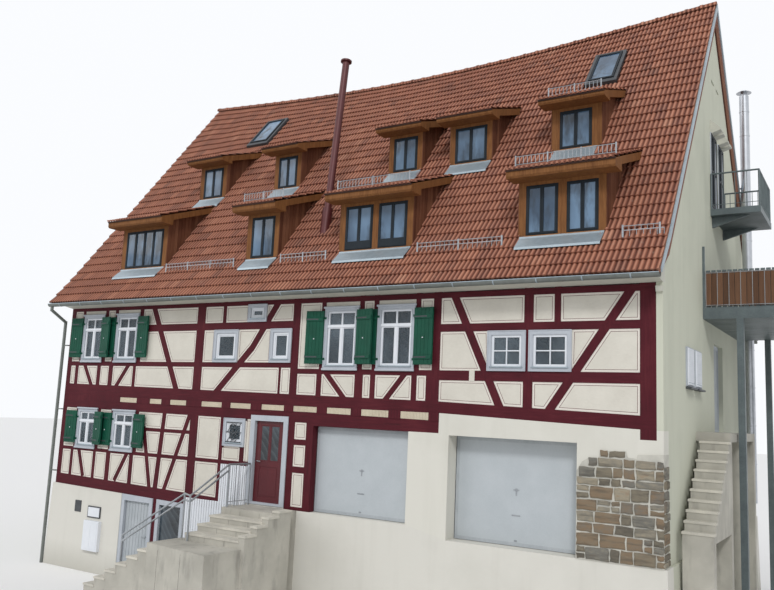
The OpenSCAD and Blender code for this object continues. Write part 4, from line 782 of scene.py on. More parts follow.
# The corners of an outline in the wall's plane, moved inward by a distance
def insetOutline(ring, distance):
    after = ring[1:] + ring[:1]
    turn = math.copysign(1, sum(p.x * q.y - q.x * p.y for p, q in zip(ring, after)))
    moved = []
    for p, q, r in zip(ring[-1:] + ring[:-1], ring, after):
        a, b = (q - p).normalized(), (r - q).normalized()
        first, second = Vector((-a.y, a.x)) * turn, Vector((-b.y, b.x)) * turn
        if abs(first.x * second.y - first.y * second.x) < 0.02:
            moved.append(q + first * distance)
            continue
        middle = first + second
        moved.append(q + middle * (distance / max(0.25, middle.dot(first))))
    return moved


def paintBorders(node, outward, name):
    t = borders
    margins, lines = Shape(), Shape()
    for solid in solidsOf(node):
        faces = facing(solid, 0, outward, 0)
        if not faces or min(solid["size"].x, solid["size"].z) < t["smallest"]:
            continue
        points = max(faces, key=len)
        level = points[0].y - outward * t["back"]
        flat = [Vector((p.x, p.z)) for p in points]
        flat = [p for i, p in enumerate(flat) if (p - flat[i - 1]).length > t["shortest"]]
        if len(flat) < 3:
            continue
        middle, inner = (insetOutline(flat, d) for d in (t["margin"], t["margin"] + t["line"]))
        for shape, outside, inside, proud in ((margins, flat, middle, t["proud"]),
                                              (lines, middle, inner, t["lineProud"])):
            for corners in zip(outside, outside[1:] + outside[:1], inside[1:] + inside[:1], inside):
                shape.sweep([(c.x, level, c.y) for c in corners], (0, outward * (proud + t["back"]), 0))
    margins.build(name + "Margins", marginLime)
    lines.build(name + "Lines", lineInk)


paintBorders("front_panels", -1, "frontPanel")
paintBorders("rear_panels", 1, "rearPanel")

# Between the storeys: the heads of the floor beams and ribbed boards between them
beamBand = {"low": 4300, "high": 4700, "back": 0.02, "proud": 0.012, "rib": 0.03, "gap": 0.006,
            "ribProud": 0.0049, "ribLap": -0.004, "lap": 0.012, "end": 0.01, "last": 11984}


# Left and right end of each beam that reaches the front
def beamFronts():
    wall = at(0, 100, 0).y
    faces = [points for solid in solidsOf("floor_beams") for points in facing(solid, 0, -1, 0)
             if points[0].y < wall]
    return sorted((min(p.x for p in points), max(p.x for p in points)) for points in faces)


# Heights between the lower plate and the upper sill at a place along the front
def bandHeights():
    plates = [solid for solid in solidsOf("front_plates") if solid["size"].x > 2]
    faces = [max(facing(solid, 0, -1, 0), key=len) for solid in plates]
    low, high = at(0, 0, beamBand["low"]).z, at(0, 0, beamBand["high"]).z
    return lambda x: sorted(z for points in faces for z in cutsOf(points, x) if low < z < high)[-2:]


# A board on the wall between the heights of two places
def boardUp(shape, x0, x1, proud, lap, heights):
    level = at(0, 0, 0).y + beamBand["back"]
    first, second = heights(x0), heights(x1)
    if len(first) < 2 or len(second) < 2:
        return
    shape.sweep([(x0, level, first[0] - lap), (x1, level, second[0] - lap), (x1, level, second[1] + lap),
                 (x0, level, first[1] + lap)], (0, -beamBand["back"] - proud, 0))


def dressBeamBand():
    heights = bandHeights()
    b = beamBand
    heads, ribs = Shape(), Shape()
    fronts = beamFronts()
    start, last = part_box("front_posts")[0].x, at(b["last"], 0, 0).x
    boardUp(heads, start + b["end"], fronts[0][1], b["proud"] * 0.4, b["lap"], heights)
    for low, high in fronts:
        proud = b["proud"] * dice.uniform(0.6, 1.2)
        boardUp(heads, low, min(high, last - b["end"]), proud, b["lap"], heights)
    for (_, left), (right, _) in zip(fronts, fronts[1:]):
        count = max(2, round((right - left) / (b["rib"] + b["gap"])))
        for n in range(count):
            ribs.tint = dice.random()
            boardUp(ribs, between(left, right, n, count) + b["gap"] / 2,
                    between(left, right, n + 1, count) - b["gap"] / 2, b["ribProud"], b["ribLap"], heights)
    heads.build("beamHeads", timberUpright)
    ribs.build("gapBoards", gapBoards)


# A bare strip of plaster runs over the rail between two panels; places in survey millimetres
strip = {"left": 12640, "right": 12760, "front": -3, "back": 14, "foot": 5216, "head": 5431}


def bareStrip():
    shape = Shape()
    shape.boxAt(*strip.values())
    shape.build("bareStrip", panelLime)


dressBeamBand()
bareStrip()
print("panels lined")

# Windows, each in the local frame of its opening
windowSizes = {"case": 0.085, "stand": 0.025, "stile": 0.052, "bar": 0.024, "sill": 0.03, "transom": 0.72,
               "capOut": 0.035, "tall": 0.82, "near": -0.002, "far": 0.043, "glass": 0.004, "left": -60,
               "rim": 0.004, "bead": 0.018}
sashes, panes, casings, sills = Shape(), Shape(), Shape(), Shape()


# A frame of four bars, parted into fields across and down
def bars(shape, turn, x0, x1, z0, z1, near, far, across=1, down=1, edge=0.05, bar=0.024, cut=0.004):
    for a, b, low, high in ((x0, x0 + edge, z0, z1), (x1 - edge, x1, z0, z1),
                            (x0 + edge, x1 - edge, z0, z0 + edge), (x0 + edge, x1 - edge, z1 - edge, z1)):
        shape.box((a, near, low), (b, far, high), cut, turn)
    for n in range(1, across):
        x = x0 + edge + (x1 - x0 - 2 * edge) * n / across
        shape.box((x - bar / 2, near + 0.003, z0 + edge), (x + bar / 2, far, z1 - edge), 0.003, turn)
    for n in range(1, down):
        z = z0 + edge + (z1 - z0 - 2 * edge) * n / down
        shape.box((x0 + edge, near + 0.004, z - bar / 2), (x1 - edge, far, z + bar / 2), 0.003, turn)


# A pane, given the field that its frame closes and how far it lies inside that field
def pane(turn, x0, x1, z0, z1, inside, y):
    panes.box((x0 + inside, y, z0 + inside), (x1 - inside, y + windowSizes["glass"], z1 - inside), 0, turn)


# A casement window in a cased opening of width w and height h, seen from outside
def casement(turn, w, h, style):
    s = windowSizes
    near, far, stile = s["near"], s["far"], s["stile"]
    if style == "tall":
        cut, post, beam = h * s["transom"], 0.026, 0.03
        bars(sashes, turn, 0, w, cut, h, near, far, 2, 1, stile * 0.8, s["bar"] * 1.6)
        for x0, x1 in ((0, w / 2), (w / 2, w)):
            bars(sashes, turn, x0, x1, 0, cut, near, far, 1, 1, stile)
            pane(turn, x0, x1, 0, cut, 0.04, 0.018)
        sashes.box((w / 2 - post, near - 0.012, 0), (w / 2 + post, near + 0.002, cut), 0.005, turn)
        sashes.box((-0.002, near - 0.02, cut - beam), (w + 0.002, near + 0.004, cut + beam), 0.006, turn)
        pane(turn, 0, w, cut, h, 0.03, 0.02)
    elif style == "grid":
        bars(sashes, turn, 0, w, 0, h, near, far, 2, 2, stile, s["bar"])
        pane(turn, 0, w, 0, h, 0.04, 0.02)
    else:
        bars(sashes, turn, 0, w, 0, h, near, far, 1, 1, stile)
        bars(sashes, turn, stile, w - stile, stile, h - stile, near + 0.014, far, 1, 1, 0.03)
        pane(turn, 0, w, 0, h, 0.06, 0.025)


# A raised rim and an inner bead on the casing, a sill, and caps over and under a tall window
def caseOpening(turn, w, h, tall):
    s = windowSizes
    c, front, rim, bead = s["case"], -s["stand"], s["rim"], s["bead"]
    bars(casings, turn, -c - rim, w + c + rim, -c - rim, h + c + rim, front - 0.01, front + 0.002,
         edge=rim + bead)
    for x0, x1, z0, z1 in ((rim - bead, rim, -0.002, h + 0.002), (w - rim, w - rim + bead, -0.002, h + 0.002),
                           (rim - bead, w - rim + bead, h - rim, h - rim + bead)):
        casings.box((x0, front - 0.006, z0), (x1, front + 0.02, z1), 0.003, turn)
    sills.box((-0.03, front - s["sill"], -0.022), (w + 0.03, 0.01, 0.004), 0.008, turn)
    if tall:
        for side, out, z0, z1 in ((0.03, s["capOut"], h + c - 0.016, h + c + 0.03),
                                  (0.02, s["capOut"] * 0.8, -c - 0.03, 0.02 - c)):
            casings.box((-c - side, front - out, z0), (w + c + side, front + 0.01, z1), 0.01, turn)


def fillWindows():
    t = windowSizes
    c, stand = t["case"], t["stand"]
    wall, leftWall = at(0, 0, 0).y, at(t["left"], 0, 0).x
    for s in solidsOf("window_frames"):
        low, high, size = s["low"], s["high"], s["size"]
        if abs(low.y - (wall - stand)) < 0.004:
            corner, right, inward = (low.x + c, wall), (1, 0, 0), (0, 1, 0)
        elif abs(high.y - (stand - wall)) < 0.004:
            corner, right, inward = (high.x - c, -wall), (-1, 0, 0), (0, -1, 0)
        elif abs(low.x - (leftWall - stand)) < 0.004:
            corner, right, inward = (leftWall, high.y - c), (0, -1, 0), (1, 0, 0)
        elif size.x < 0.2 and low.x > places["gable"] and size.z - 2 * c <= 1.5:
            corner, right, inward = (high.x - stand, low.y + c), (0, 1, 0), (-1, 0, 0)
        else:
            continue
        turn = localFrame((*corner, low.z + c), right, inward)
        w, h = (size.x if right[0] else size.y) - 2 * c, size.z - 2 * c
        tall = h > t["tall"]
        gridded = s["mid"].x > 4.5 and low.y < -5 and h > 0.5
        casement(turn, w, h, "tall" if tall else "grid" if gridded else "plain")
        caseOpening(turn, w, h, tall)


# Wrought grille of the small window beside the entrance: two scrolls and slanting bars
grille = {"left": 6184, "right": 6688, "foot": 3637, "head": 4130, "rod": 0.009, "out": 0.022, "points": 24}


def forgeGrille():
    shape = Shape()
    rod = grille["rod"]
    low = at(grille["left"], 0, grille["foot"])
    high = at(grille["right"], 0, grille["head"])
    y = low.y - grille["out"]
    w, h = high.x - low.x, high.z - low.z
    for part in (0, 1):
        base = low.z + h * (0.06 + 0.46 * part)
        middle = low.x + w * (0.5 - 0.1 * part)
        scroll = []
        for k in range(grille["points"] + 1):
            a = math.pi * (0.15 + 1.7 * k / grille["points"])
            r = h * 0.19 * (1 - 0.45 * k / grille["points"])
            scroll.append((middle + math.cos(a) * r * 1.15, y, base + h * 0.2 + math.sin(a) * r))
        shape.tube(scroll, rod, 8)
        for n in range(3):
            x0 = low.x + w * (0.1 + 0.25 * n)
            shape.tube([(x0, y + 0.004, base), (x0 + w * 0.3, y + 0.004, base + h * 0.4)], rod * 0.8, 8)
    for z in (low.z + 0.02, low.z + h / 2, high.z - 0.02):
        shape.tube([(low.x - 0.01, y + 0.008, z), (high.x + 0.01, y + 0.008, z)], rod, 8)
    shape.build("windowGrille", darkMetal)


fillWindows()
forgeGrille()
print("windows filled")

# Dormers: dark casements, an apron of sheet below, boarded cheeks and a sill
dormerTrim = {"edge": 0.038, "rim": 0.012, "inset": 0.03, "four": 1.3, "board": 0.115, "gap": 0.008,
              "deep": 0.018, "foot": 0.03, "sill": 0.045, "apron": 0.3, "apronSide": 0.12, "apronRise": 0.15,
              "above": 7.8, "near": 0.12}
# The windows of one lower dormer have a closed panel in their lower part
panelRow = {"left": 8990, "right": 10950, "under": 10.2, "share": 0.2}
aprons, honeyTrim, cheekBoards, skyPanes, dormerSashes = Shape(), Shape(), Shape(), Shape(), Shape()


def glazeDormer(ring, wall, toward):
    t = dormerTrim
    w, h, inset = ring["size"].x, ring["size"].z, t["inset"]
    left = ring["low" if toward > 0 else "high"].x
    turn = localFrame((left, wall, ring["low"].z), (toward, 0, 0), (0, toward, 0))
    bars(dormerSashes, turn, 0.006, w - 0.006, 0.006, h - 0.006, -0.006, 0.017, 1, 1, t["edge"] + t["rim"])
    lights = 4 if w > t["four"] else 2
    for n in range(lights):
        x0, x1 = (between(inset, w - inset, k, lights) for k in (n, n + 1))
        bars(dormerSashes, turn, x0, x1, inset, h - inset, -0.016, 0.0175, 1, 1, t["edge"])
        skyPanes.box((x0 + 0.02, 0.004, 0.05), (x1 - 0.02, 0.008, h - 0.05), 0, turn)
    honeyTrim.box((-0.02, -0.03, -t["sill"]), (w + 0.02, 0.01, 0.0), 0.006, turn)
    inRow = at(panelRow["left"], 0, 0).x < ring["mid"].x < at(panelRow["right"], 0, 0).x
    if inRow and toward > 0 and ring["low"].z < panelRow["under"]:
        dormerSashes.box((inset, -0.017, inset), (w - inset, 0.004, h * panelRow["share"]), 0.003, turn)


# A sheet from the foot of the windows out over the tiles, as a profile of distances out and heights
def layApron(rings, wall, toward, height):
    t = dormerTrim
    x0 = min(r["low"].x for r in rings) - t["apronSide"]
    x1 = max(r["high"].x for r in rings) + t["apronSide"]
    top = min(r["low"].z for r in rings) - t["sill"] + 0.035
    bend = height((x0 + x1) / 2, wall - toward * 0.05) + 0.075
    low = height((x0 + x1) / 2, wall - toward * t["apron"]) + t["apronRise"]
    profile = ((0.004, top), (0.028, top - 0.006), (0.05, bend), (0.16, (bend + low) / 2 + 0.012),
               (t["apron"], low), (t["apron"] + 0.014, low - 0.05), (t["apron"], low - 0.015),
               (0.045, bend - 0.012), (0.004, bend - 0.012))
    aprons.sweep([(x0, wall - toward * out, z) for out, z in profile], (x1 - x0, 0, 0))


# Upright boards on the outer side of a cheek, which narrows to a tip
def boardCheek(cheek, dormer):
    t = dormerTrim
    toward = dormer["toward"]
    left = cheek["mid"].x < (dormer["x0"] + dormer["x1"]) / 2
    x, out = (cheek["low"].x, -1) if left else (cheek["high"].x, 1)
    outline = facing(cheek, out, 0, 0)[0]
    start, end = dormer["wall"], cheek["high" if toward > 0 else "low"].y
    tip = max(outline, key=lambda p: p.y * toward)
    others = sorted((p for p in outline if p != tip), key=lambda p: p.z)
    low, top = others[0], others[-1]
    count = max(2, round(abs(end - start) / t["board"]))
    for n in range(count):
        ends = []
        for y in (between(start, end, n, count) + toward * t["gap"] / 2,
                  between(start, end, n + 1, count) - toward * t["gap"] / 2):
            share = (y - low.y) / (tip.y - low.y)
            ends.append((y, low.z + (tip.z - low.z) * share, top.z + (tip.z - top.z) * share))
        (y0, foot0, head0), (y1, foot1, head1) = ends
        if head1 - foot1 < 0.01:
            continue
        cheekBoards.tint = dice.random()
        ring = [(x, y0, foot0 + t["foot"]), (x, y1, foot1 + t["foot"]), (x, y1, head1), (x, y0, head0)]
        cheekBoards.sweep(ring, (out * t["deep"], 0, 0))


def dressDormers():
    rings = [s for s in solidsOf("window_frames") if s["size"].y < 0.06 and s["low"].z > dormerTrim["above"]]
    heights = {1: surfaceOf("roof_front"), -1: surfaceOf("roof_rear")}
    for d in dormers:
        mine = [r for r in rings
                if d["x0"] < r["mid"].x < d["x1"] and abs(r["mid"].y - d["wall"]) < dormerTrim["near"]]
        for ring in mine:
            glazeDormer(ring, d["wall"], d["toward"])
        layApron(mine, d["wall"], d["toward"], heights[d["toward"]])
        for cheek in d["cheeks"]:
            boardCheek(cheek, d)


dressDormers()
for shape, name, finish in ((panes, "clearPanes", clearPane), (skyPanes, "dormerPanes", skyPane),
                            (sashes, "sashes", sashPaint), (dormerSashes, "dormerSashes", sashDark),
                            (casings, "casingTrim", casingPaint), (sills, "windowSills", zincSheet),
                            (aprons, "dormerAprons", zincSheet), (honeyTrim, "dormerSills", honeyWood),
                            (cheekBoards, "cheekBoards", cheekWood)):
    shape.build(name, finish)
print("dormers dressed")

# Shutters: upright boards, two battens, iron straps with nails and a knob on each leaf
leafSizes = {"board": 0.095, "gap": 0.007, "end": 0.004, "proud": 0.006, "batten": 0.085, "battenDeep": 0.02,
             "side": 0.008, "strap": 0.03, "strapLong": 0.72, "nail": 0.007, "knob": 0.014, "knobUp": 0.47}


# The broad face of a shutter leaf: its frame, width and height
def leafFace(leaf):
    found = []
    for points, normal in leaf["faces"]:
        if normal.y < -0.25 and abs(normal.z) < 0.1:
            along = Vector((-normal.y, normal.x, 0)).normalized()
            runs, levels = [p.dot(along) for p in points], [p.z for p in points]
            w, h = max(runs) - min(runs), max(levels) - min(levels)
            base = points[0] - along * (runs[0] - min(runs))
            found.append((w * h, w, h, (base.x, base.y, min(levels)), along, -normal))
    _, w, h, base, along, inward = max(found, key=lambda face: face[0])
    return localFrame(base, along, inward), w, h


def dressShutters():
    t = leafSizes
    boarding, iron, knobs = Shape(), Shape(), Shape()
    for leaf in solidsOf("shutters"):
        turn, w, h = leafFace(leaf)
        count = max(3, round(w / t["board"]))
        for n in range(count):
            boarding.tint = dice.random()
            boarding.box((w * n / count + t["gap"] / 2, -t["proud"], t["end"]),
                         (w * (n + 1) / count - t["gap"] / 2, 0.001, h - t["end"]), 0.003, turn)
        boarding.tint = 0.4
        out = -t["proud"] - t["battenDeep"]
        for z in (h * 0.13, h * 0.84):
            half = t["batten"] / 2
            side = t["side"]
            boarding.box((side, out, z - half), (w - side, 0.001 - t["proud"], z + half), 0.006, turn)
            half = t["strap"] / 2
            iron.box((0.01, out - 0.004, z - half), (w * t["strapLong"], out + 0.001, z + half), 0.002, turn)
            half = t["nail"]
            for x in (0.05, 0.05 + w * 0.26, 0.05 + w * 0.52):
                iron.box((x - half, out - 0.009, z - half), (x + half, out - 0.003, z + half), 0.003, turn)
        x, z, knob = w * 0.5, h * t["knobUp"], t["knob"]
        knobs.box((x - knob, -t["proud"] - 0.022, z - knob), (x + knob, -t["proud"], z + knob), 0.008, turn)
    boarding.build("shutterBoards", shutterPaint)
    iron.build("shutterIron", darkMetal)
    knobs.build("shutterKnobs", sashPaint)


dressShutters()
print("shutters dressed")

# Rubble corner: courses of rough stones laid in pale mortar
rubble = {"low": 0.11, "high": 0.25, "least": 0.16, "wide": 0.5, "gableWide": 0.36, "joint": 0.026,
          "proud": 0.035, "end": 0.06, "past": 0.012, "wobble": 0.009, "cornerWobble": 0.013}


def stoneFinish():
    f = Finish("rubbleStone", "rubble", 0.2)
    grain = f.noise(7, 6, (1, 1, 2.2), 0.65)
    grit = f.noise(45, 4)
    veins = f.spread(f.noise(3.5, 5, (0.5, 0.5, 3.5), 0.6), 0.5, 0.62)
    tone = (f.tint() * 0.7 + grain * 0.4 - 0.05).clamp()
    stone = f.shades(tone, (0.1, (0.1, 0.09, 0.075)), (0.32, (0.2, 0.175, 0.13)), (0.5, (0.215, 0.155, 0.1)),
                     (0.66, (0.165, 0.16, 0.14)), (0.84, (0.31, 0.27, 0.2)), (1.0, (0.25, 0.135, 0.07)))
    f.set(Base_Color=f.mix(stone, (0.07, 0.065, 0.055), veins * 0.45), Roughness=0.85 + grit * 0.1,
          Normal=f.bump(grain * 0.7 + grit * 0.3, 0.012))
    return f


def mortarFinish():
    f = Finish("rubbleMortar", "rubble", 0.2)
    cloud = f.noise(3, 4)
    sand = f.noise(80, 3)
    f.set(Base_Color=f.mix((0.58, 0.565, 0.5), (0.42, 0.41, 0.365), f.spread(cloud, 0.35, 0.68)),
          Roughness=0.92, Normal=f.bump(sand + cloud, 0.004))
    return f


# One stone: an uneven outline that rounds off towards its face
def layStone(shape, corners, place):
    middle = sum((Vector(c) for c in corners), Vector((0, 0))) / len(corners)
    proud = rubble["proud"] * dice.uniform(0.45, 1)
    points = []
    for inset, rise in ((0.0, -0.012), (0.004, proud * 0.55), (0.018, proud * 0.9), (0.045, proud)):
        for c in corners:
            arm = Vector(c) - middle
            p = middle + arm * max(0.2, 1 - inset / max(0.03, arm.length))
            points.append(place(p.x, p.y, rise))
    points.append(place(middle.x, middle.y, proud * 1.04))
    count = len(corners)
    faces = [[r + i, r + (i + 1) % count, r + count + (i + 1) % count, r + count + i]
             for r in range(0, 3 * count, count) for i in range(count)]
    faces += [[3 * count + i, 3 * count + (i + 1) % count, 4 * count] for i in range(count)]
    shape.add(points, faces)


def stoneOutline(x0, x1, z0, z1):
    corners = []
    ring = ((x0, z0), (x1, z0), (x1, z1), (x0, z1))
    for a, b in zip(ring, ring[1:] + ring[:1]):
        parts = 3 if math.dist(a, b) > 0.2 else 2
        for k in range(parts):
            wobble = rubble["wobble" if k else "cornerWobble"]
            corners.append([between(a[i], b[i], k, parts) + dice.uniform(-wobble, wobble) for i in (0, 1)])
    return corners


# The next stone's width, so that no sliver is left at the end of a course
def stoneWidth(left, widest, sliver):
    wide = min(dice.uniform(rubble["least"], widest), left)
    return left if left - wide < sliver else wide


def layRubble():
    shape = Shape()
    solid = solidsOf("rubble_corner")[0]
    points = max(facing(solid, 0, -1, 0), key=len)
    level, right, top = points[0].y, solid["high"].x, solid["high"].z
    joint = rubble["joint"] / 2

    def span(z):
        cuts = sorted(p.x + (q.x - p.x) * (z - p.z) / (q.z - p.z)
                      for p, q in zip(points, points[1:] + points[:1]) if (p.z - z) * (q.z - z) < 0)
        return (cuts[0], cuts[-1]) if cuts else None

    def onFront(x, z, rise):
        return Vector((min(x, right + rubble["past"]), level - rise, z))

    def onGable(y, z, rise):
        return Vector((right + min(rise, 0.03), y, z))

    z = solid["low"].z + 0.01
    while z < top - 0.07:
        tall = min(dice.uniform(rubble["low"], rubble["high"]), top - z)
        reach = [span(z + tall * share) for share in (0.15, 0.5, 0.85)]
        x, end = (max(r[0] for r in reach), min(r[1] for r in reach)) if all(reach) else (0, 0)
        while x < end - rubble["end"]:
            wide = stoneWidth(end - x, rubble["wide"], 0.12)
            rows = 2 if tall > 0.2 and wide < 0.3 and dice.random() < 0.5 else 1
            past = 0 if x + wide > right - 0.02 else joint
            for r in range(rows):
                shape.tint = dice.random()
                layStone(shape, stoneOutline(x + joint, x + wide - past, z + tall * r / rows + joint,
                                             z + tall * (r + 1) / rows - joint), onFront)
            x += wide
        z += tall
    # The quoins show on the gable side too
    z = solid["low"].z + 0.01
    while z < top - 0.25:
        tall = dice.uniform(rubble["low"], rubble["high"])
        y, end = solid["low"].y, solid["high"].y
        while y < end - rubble["end"]:
            wide = stoneWidth(end - y, rubble["gableWide"], 0.1)
            shape.tint = dice.random()
            layStone(shape, stoneOutline(y + joint, y + wide - joint, z + joint, z + tall - joint), onGable)
            y += wide
        z += tall
    smoothOver(shape.build("rubbleStones", stoneFinish()))
    print("stones", len(shape.faces))


dress("rubble_corner", mortarFinish())
layRubble()

# Doors: handles and panels ride on their own leaves
garageSizes = {"rim": 0.055, "proud": 0.0012, "inset": 0.012, "grip": 0.008, "gripUp": 0.52, "rose": 0.034}
entranceSizes = {"inset": 0.03, "foot": 0.02, "side": 0.115, "cross": 0.13, "crossUp": 0.47, "post": 0.026,
                 "proud": 0.01, "bead": 0.02, "behind": 0.001}
plankSizes = {"wide": 0.12, "inset": 0.012, "gap": 0.004, "proud": 0.012, "handleUp": 0.52, "handleIn": 0.09}


def garageTrim(node):
    g = garageSizes
    faces = [points for solid in solidsOf(node) for points in facing(solid, 0, -1, 0)]
    leaf = max(faces, key=lambda points: max(p.x for p in points) - min(p.x for p in points))
    x0, x1 = min(p.x for p in leaf) + g["inset"], max(p.x for p in leaf) - g["inset"]
    z0, z1 = min(p.z for p in leaf) + g["inset"], max(p.z for p in leaf) - g["inset"]
    front = leaf[0].y
    out, half, back = front - g["grip"], front - g["grip"] / 2, front + 0.001
    iron, rim = Shape(), Shape()
    x, z = (x0 + x1) / 2, between(z0, z1, g["gripUp"], 1)
    iron.tube([(x, front + 0.002, z), (x, half, z)], g["rose"], 20)
    # Turning grip, lock plate, pull and foot catch
    for side, near, far, low, high, cut in ((0.062, out, half, z - 0.011, z + 0.011, 0.003),
                                            (0.016, half, back, z - 0.11, z - 0.034, 0.002),
                                            (0.09, out, back, z - 0.5, z - 0.475, 0.003),
                                            (0.03, out, back, z0 + 0.07, z0 + 0.1, 0.003)):
        iron.box((x - side, near, low), (x + side, far, high), cut)
    iron.build(node + "Handle", galvanised, node)
    bars(rim, Matrix(), x0, x1, z0, z1, front - g["proud"], front + 0.002, edge=g["rim"], cut=0)
    rim.build(node + "Rim", plankPaint, node)


levers = {"half": 0.02, "down": 0.13, "up": 0.09, "out": 0.055, "bend": 0.01, "long": 0.125, "rod": 0.0095,
          "lock": 0.011, "lockDown": 0.075}


# A lever on its plate, with the lock below; toward is 1 where it points right
def lever(shape, turn, x, z, toward):
    half, out, lock = levers["half"], levers["out"], z - levers["lockDown"]
    shape.box((x - half, -0.006, z - levers["down"]), (x + half, 0.001, z + levers["up"]), 0.004, turn)
    rod = ((x, 0, z), (x, levers["bend"] - out, z), (x + half * toward, -out, z),
           (x + levers["long"] * toward, -out, z - 0.004))
    shape.tube([turn @ Vector(p) for p in rod], levers["rod"], 10)
    shape.tube([turn @ Vector(p) for p in ((x, 0.001, lock), (x, -0.009, lock))], levers["lock"], 12)


def entranceTrim():
    t = entranceSizes
    corner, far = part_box("entrance_door")
    turn = localFrame(corner, (1, 0, 0), (0, 1, 0))
    w, h = far.x - corner.x, far.z - corner.z
    wood, iron, glass = Shape(), Shape(), Shape()
    out, back = -t["proud"], t["behind"]
    left, right, top = t["inset"] + t["side"], w - t["inset"] - t["side"], h - t["foot"] - t["side"]
    low, high = h * t["crossUp"] - t["cross"] / 2, h * t["crossUp"] + t["cross"] / 2
    bars(wood, turn, t["inset"], w - t["inset"], t["foot"], h - t["foot"], out, back, edge=t["side"])
    wood.box((left, out, low), (right, back, high), 0.004, turn)
    wood.box((w / 2 - t["post"], out, high), (w / 2 + t["post"], back, top), 0.004, turn)
    for x0, x1 in ((left, w / 2 - t["post"]), (w / 2 + t["post"], right)):
        bars(wood, turn, x0, x1, high, top, -0.006, back, edge=t["bead"])
        low0, high0 = (x0 + t["bead"], -0.003, high + t["bead"]), (x1 - t["bead"], back, top - t["bead"])
        glass.box(low0, high0, 0, turn)
    wood.box((left + 0.03, -0.008, t["side"] + 0.06), (right - 0.03, back, low - 0.035), 0.012, turn)
    lever(iron, turn, 0.085, h * 0.5, 1)
    wood.build("entranceDoorPanels", doorPaint, "entrance_door")
    iron.build("entranceDoorHandle", galvanised, "entrance_door")
    glass.build("entranceDoorPanes", roomDark, "entrance_door")


def plankTrim(node, toFront):
    t = plankSizes
    low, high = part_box(node)
    size = high - low
    if toFront:
        turn, w, h = localFrame(low, (1, 0, 0), (0, 1, 0)), size.x, size.z
    else:
        turn, w, h = localFrame((high.x, low.y, low.z), (0, 1, 0), (-1, 0, 0)), size.y, size.z
    planks, iron = Shape(), Shape()
    count = max(4, round(w / t["wide"]))
    for n in range(count):
        planks.tint = dice.random()
        x0, x1 = (between(t["inset"], w - t["inset"], k, count) for k in (n, n + 1))
        planks.box((x0 + t["gap"], -t["proud"], t["inset"]), (x1 - t["gap"], 0.001, h - t["inset"]),
                   0.004, turn)
    if toFront:
        lever(iron, turn, w - t["handleIn"], h * t["handleUp"], -1)
    else:
        lever(iron, turn, t["handleIn"], h * t["handleUp"], 1)
    planks.build(node + "Planks", plankPaint, node)
    iron.build(node + "Handle", galvanised, node)


garageTrim("garage_door_left")
garageTrim("garage_door_right")
entranceTrim()
plankTrim("cellar_door", True)
plankTrim("gable_door", False)
print("doors dressed")

# Snow guards: left and right end, in survey millimetres; those before the upper dormers also their depth
guards = {"high": 0.17, "rod": 0.009, "step": 0.085, "up": 0.1, "thin": 0.7, "post": 800, "side": 0.016,
          "bends": 6}
upperGuards = [(6080, 7340, 160), (8990, 10950, 160), (13480, 15560, 160), (13480, 14700, 1990)]
lowGuards = [(3560, 5960), (7480, 8820), (11280, 13260), (15720, 16400)]
lowGuardSizes = {"deep": 60, "step": 110, "up": 0.075, "thin": 0.6, "side": 0.018}


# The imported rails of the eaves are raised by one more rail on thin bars
def raiseGuards(shape):
    t = lowGuardSizes
    top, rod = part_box("snow_guards")[1].z, guards["rod"]
    for u0, u1 in lowGuards:
        a, b = at(u0, t["deep"], 0), at(u1, t["deep"], 0)
        y = a.y
        shape.tube([(a.x, y, top + t["up"]), (b.x, y, top + t["up"])], rod, 8)
        count = round((u1 - u0) / t["step"])
        for n in range(count + 1):
            x = between(a.x, b.x, n, count)
            shape.tube([(x, y, top - 0.02), (x, y, top + t["up"])], rod * t["thin"], 6)
        posts = max(1, round((u1 - u0) / guards["post"]))
        for n in range(posts + 1):
            x = between(a.x, b.x, n, posts)
            shape.box((x - t["side"], y - 0.014, top - 0.19), (x + t["side"], y - 0.005, top + 0.1), 0.002)


def addGuards(shape):
    t = guards
    surfaces = [surfaceOf("roof_front"), surfaceOf("dormer_roofs")]

    def height(x, y):
        return max(surface(x, y) for surface in surfaces)

    for u0, u1, deep in upperGuards:
        a, b = at(u0, deep, 0), at(u1, deep, 0)
        y = a.y
        count = max(4, round((b.x - a.x) / t["step"]))
        xs = [between(a.x, b.x, n, count) for n in range(count + 1)]
        levels = [height(x, y) + t["up"] for x in xs]
        for rise in (0.0, t["high"]):
            rail = [(between(a.x, b.x, n, t["bends"]), y, levels[round(count * n / t["bends"])] + rise)
                    for n in range(t["bends"] + 1)]
            shape.tube(rail, t["rod"], 8)
        for x, level in zip(xs, levels):
            shape.tube([(x, y, level), (x, y, level + t["high"])], t["rod"] * t["thin"], 6)
        posts = round((u1 - u0) / t["post"])
        for n in range(posts + 1):
            x = between(a.x, b.x, n, posts)
            z = height(min(max(x, a.x), b.x), y)
            shape.box((x - t["side"], y - 0.004, z + 0.04), (x + t["side"], y + 0.004, z + 0.3), 0.002)
            shape.box((x - t["side"], y - 0.004, z + 0.06), (x + t["side"], y + 0.2, z + 0.075), 0.002)


def dressGuards():
    shape = Shape()
    raiseGuards(shape)
    addGuards(shape)
    shape.build("snowGuards", galvanised)


# A dark strip over the fascia of each dormer roof, but for the smallest: painted shadow under the tile edges
dormerEdge = {"smallest": 1.1, "in": 0.01,
              "profile": ((0.02, -0.022), (-0.022, -0.022), (-0.03, 0.012), (0.02, 0.02))}


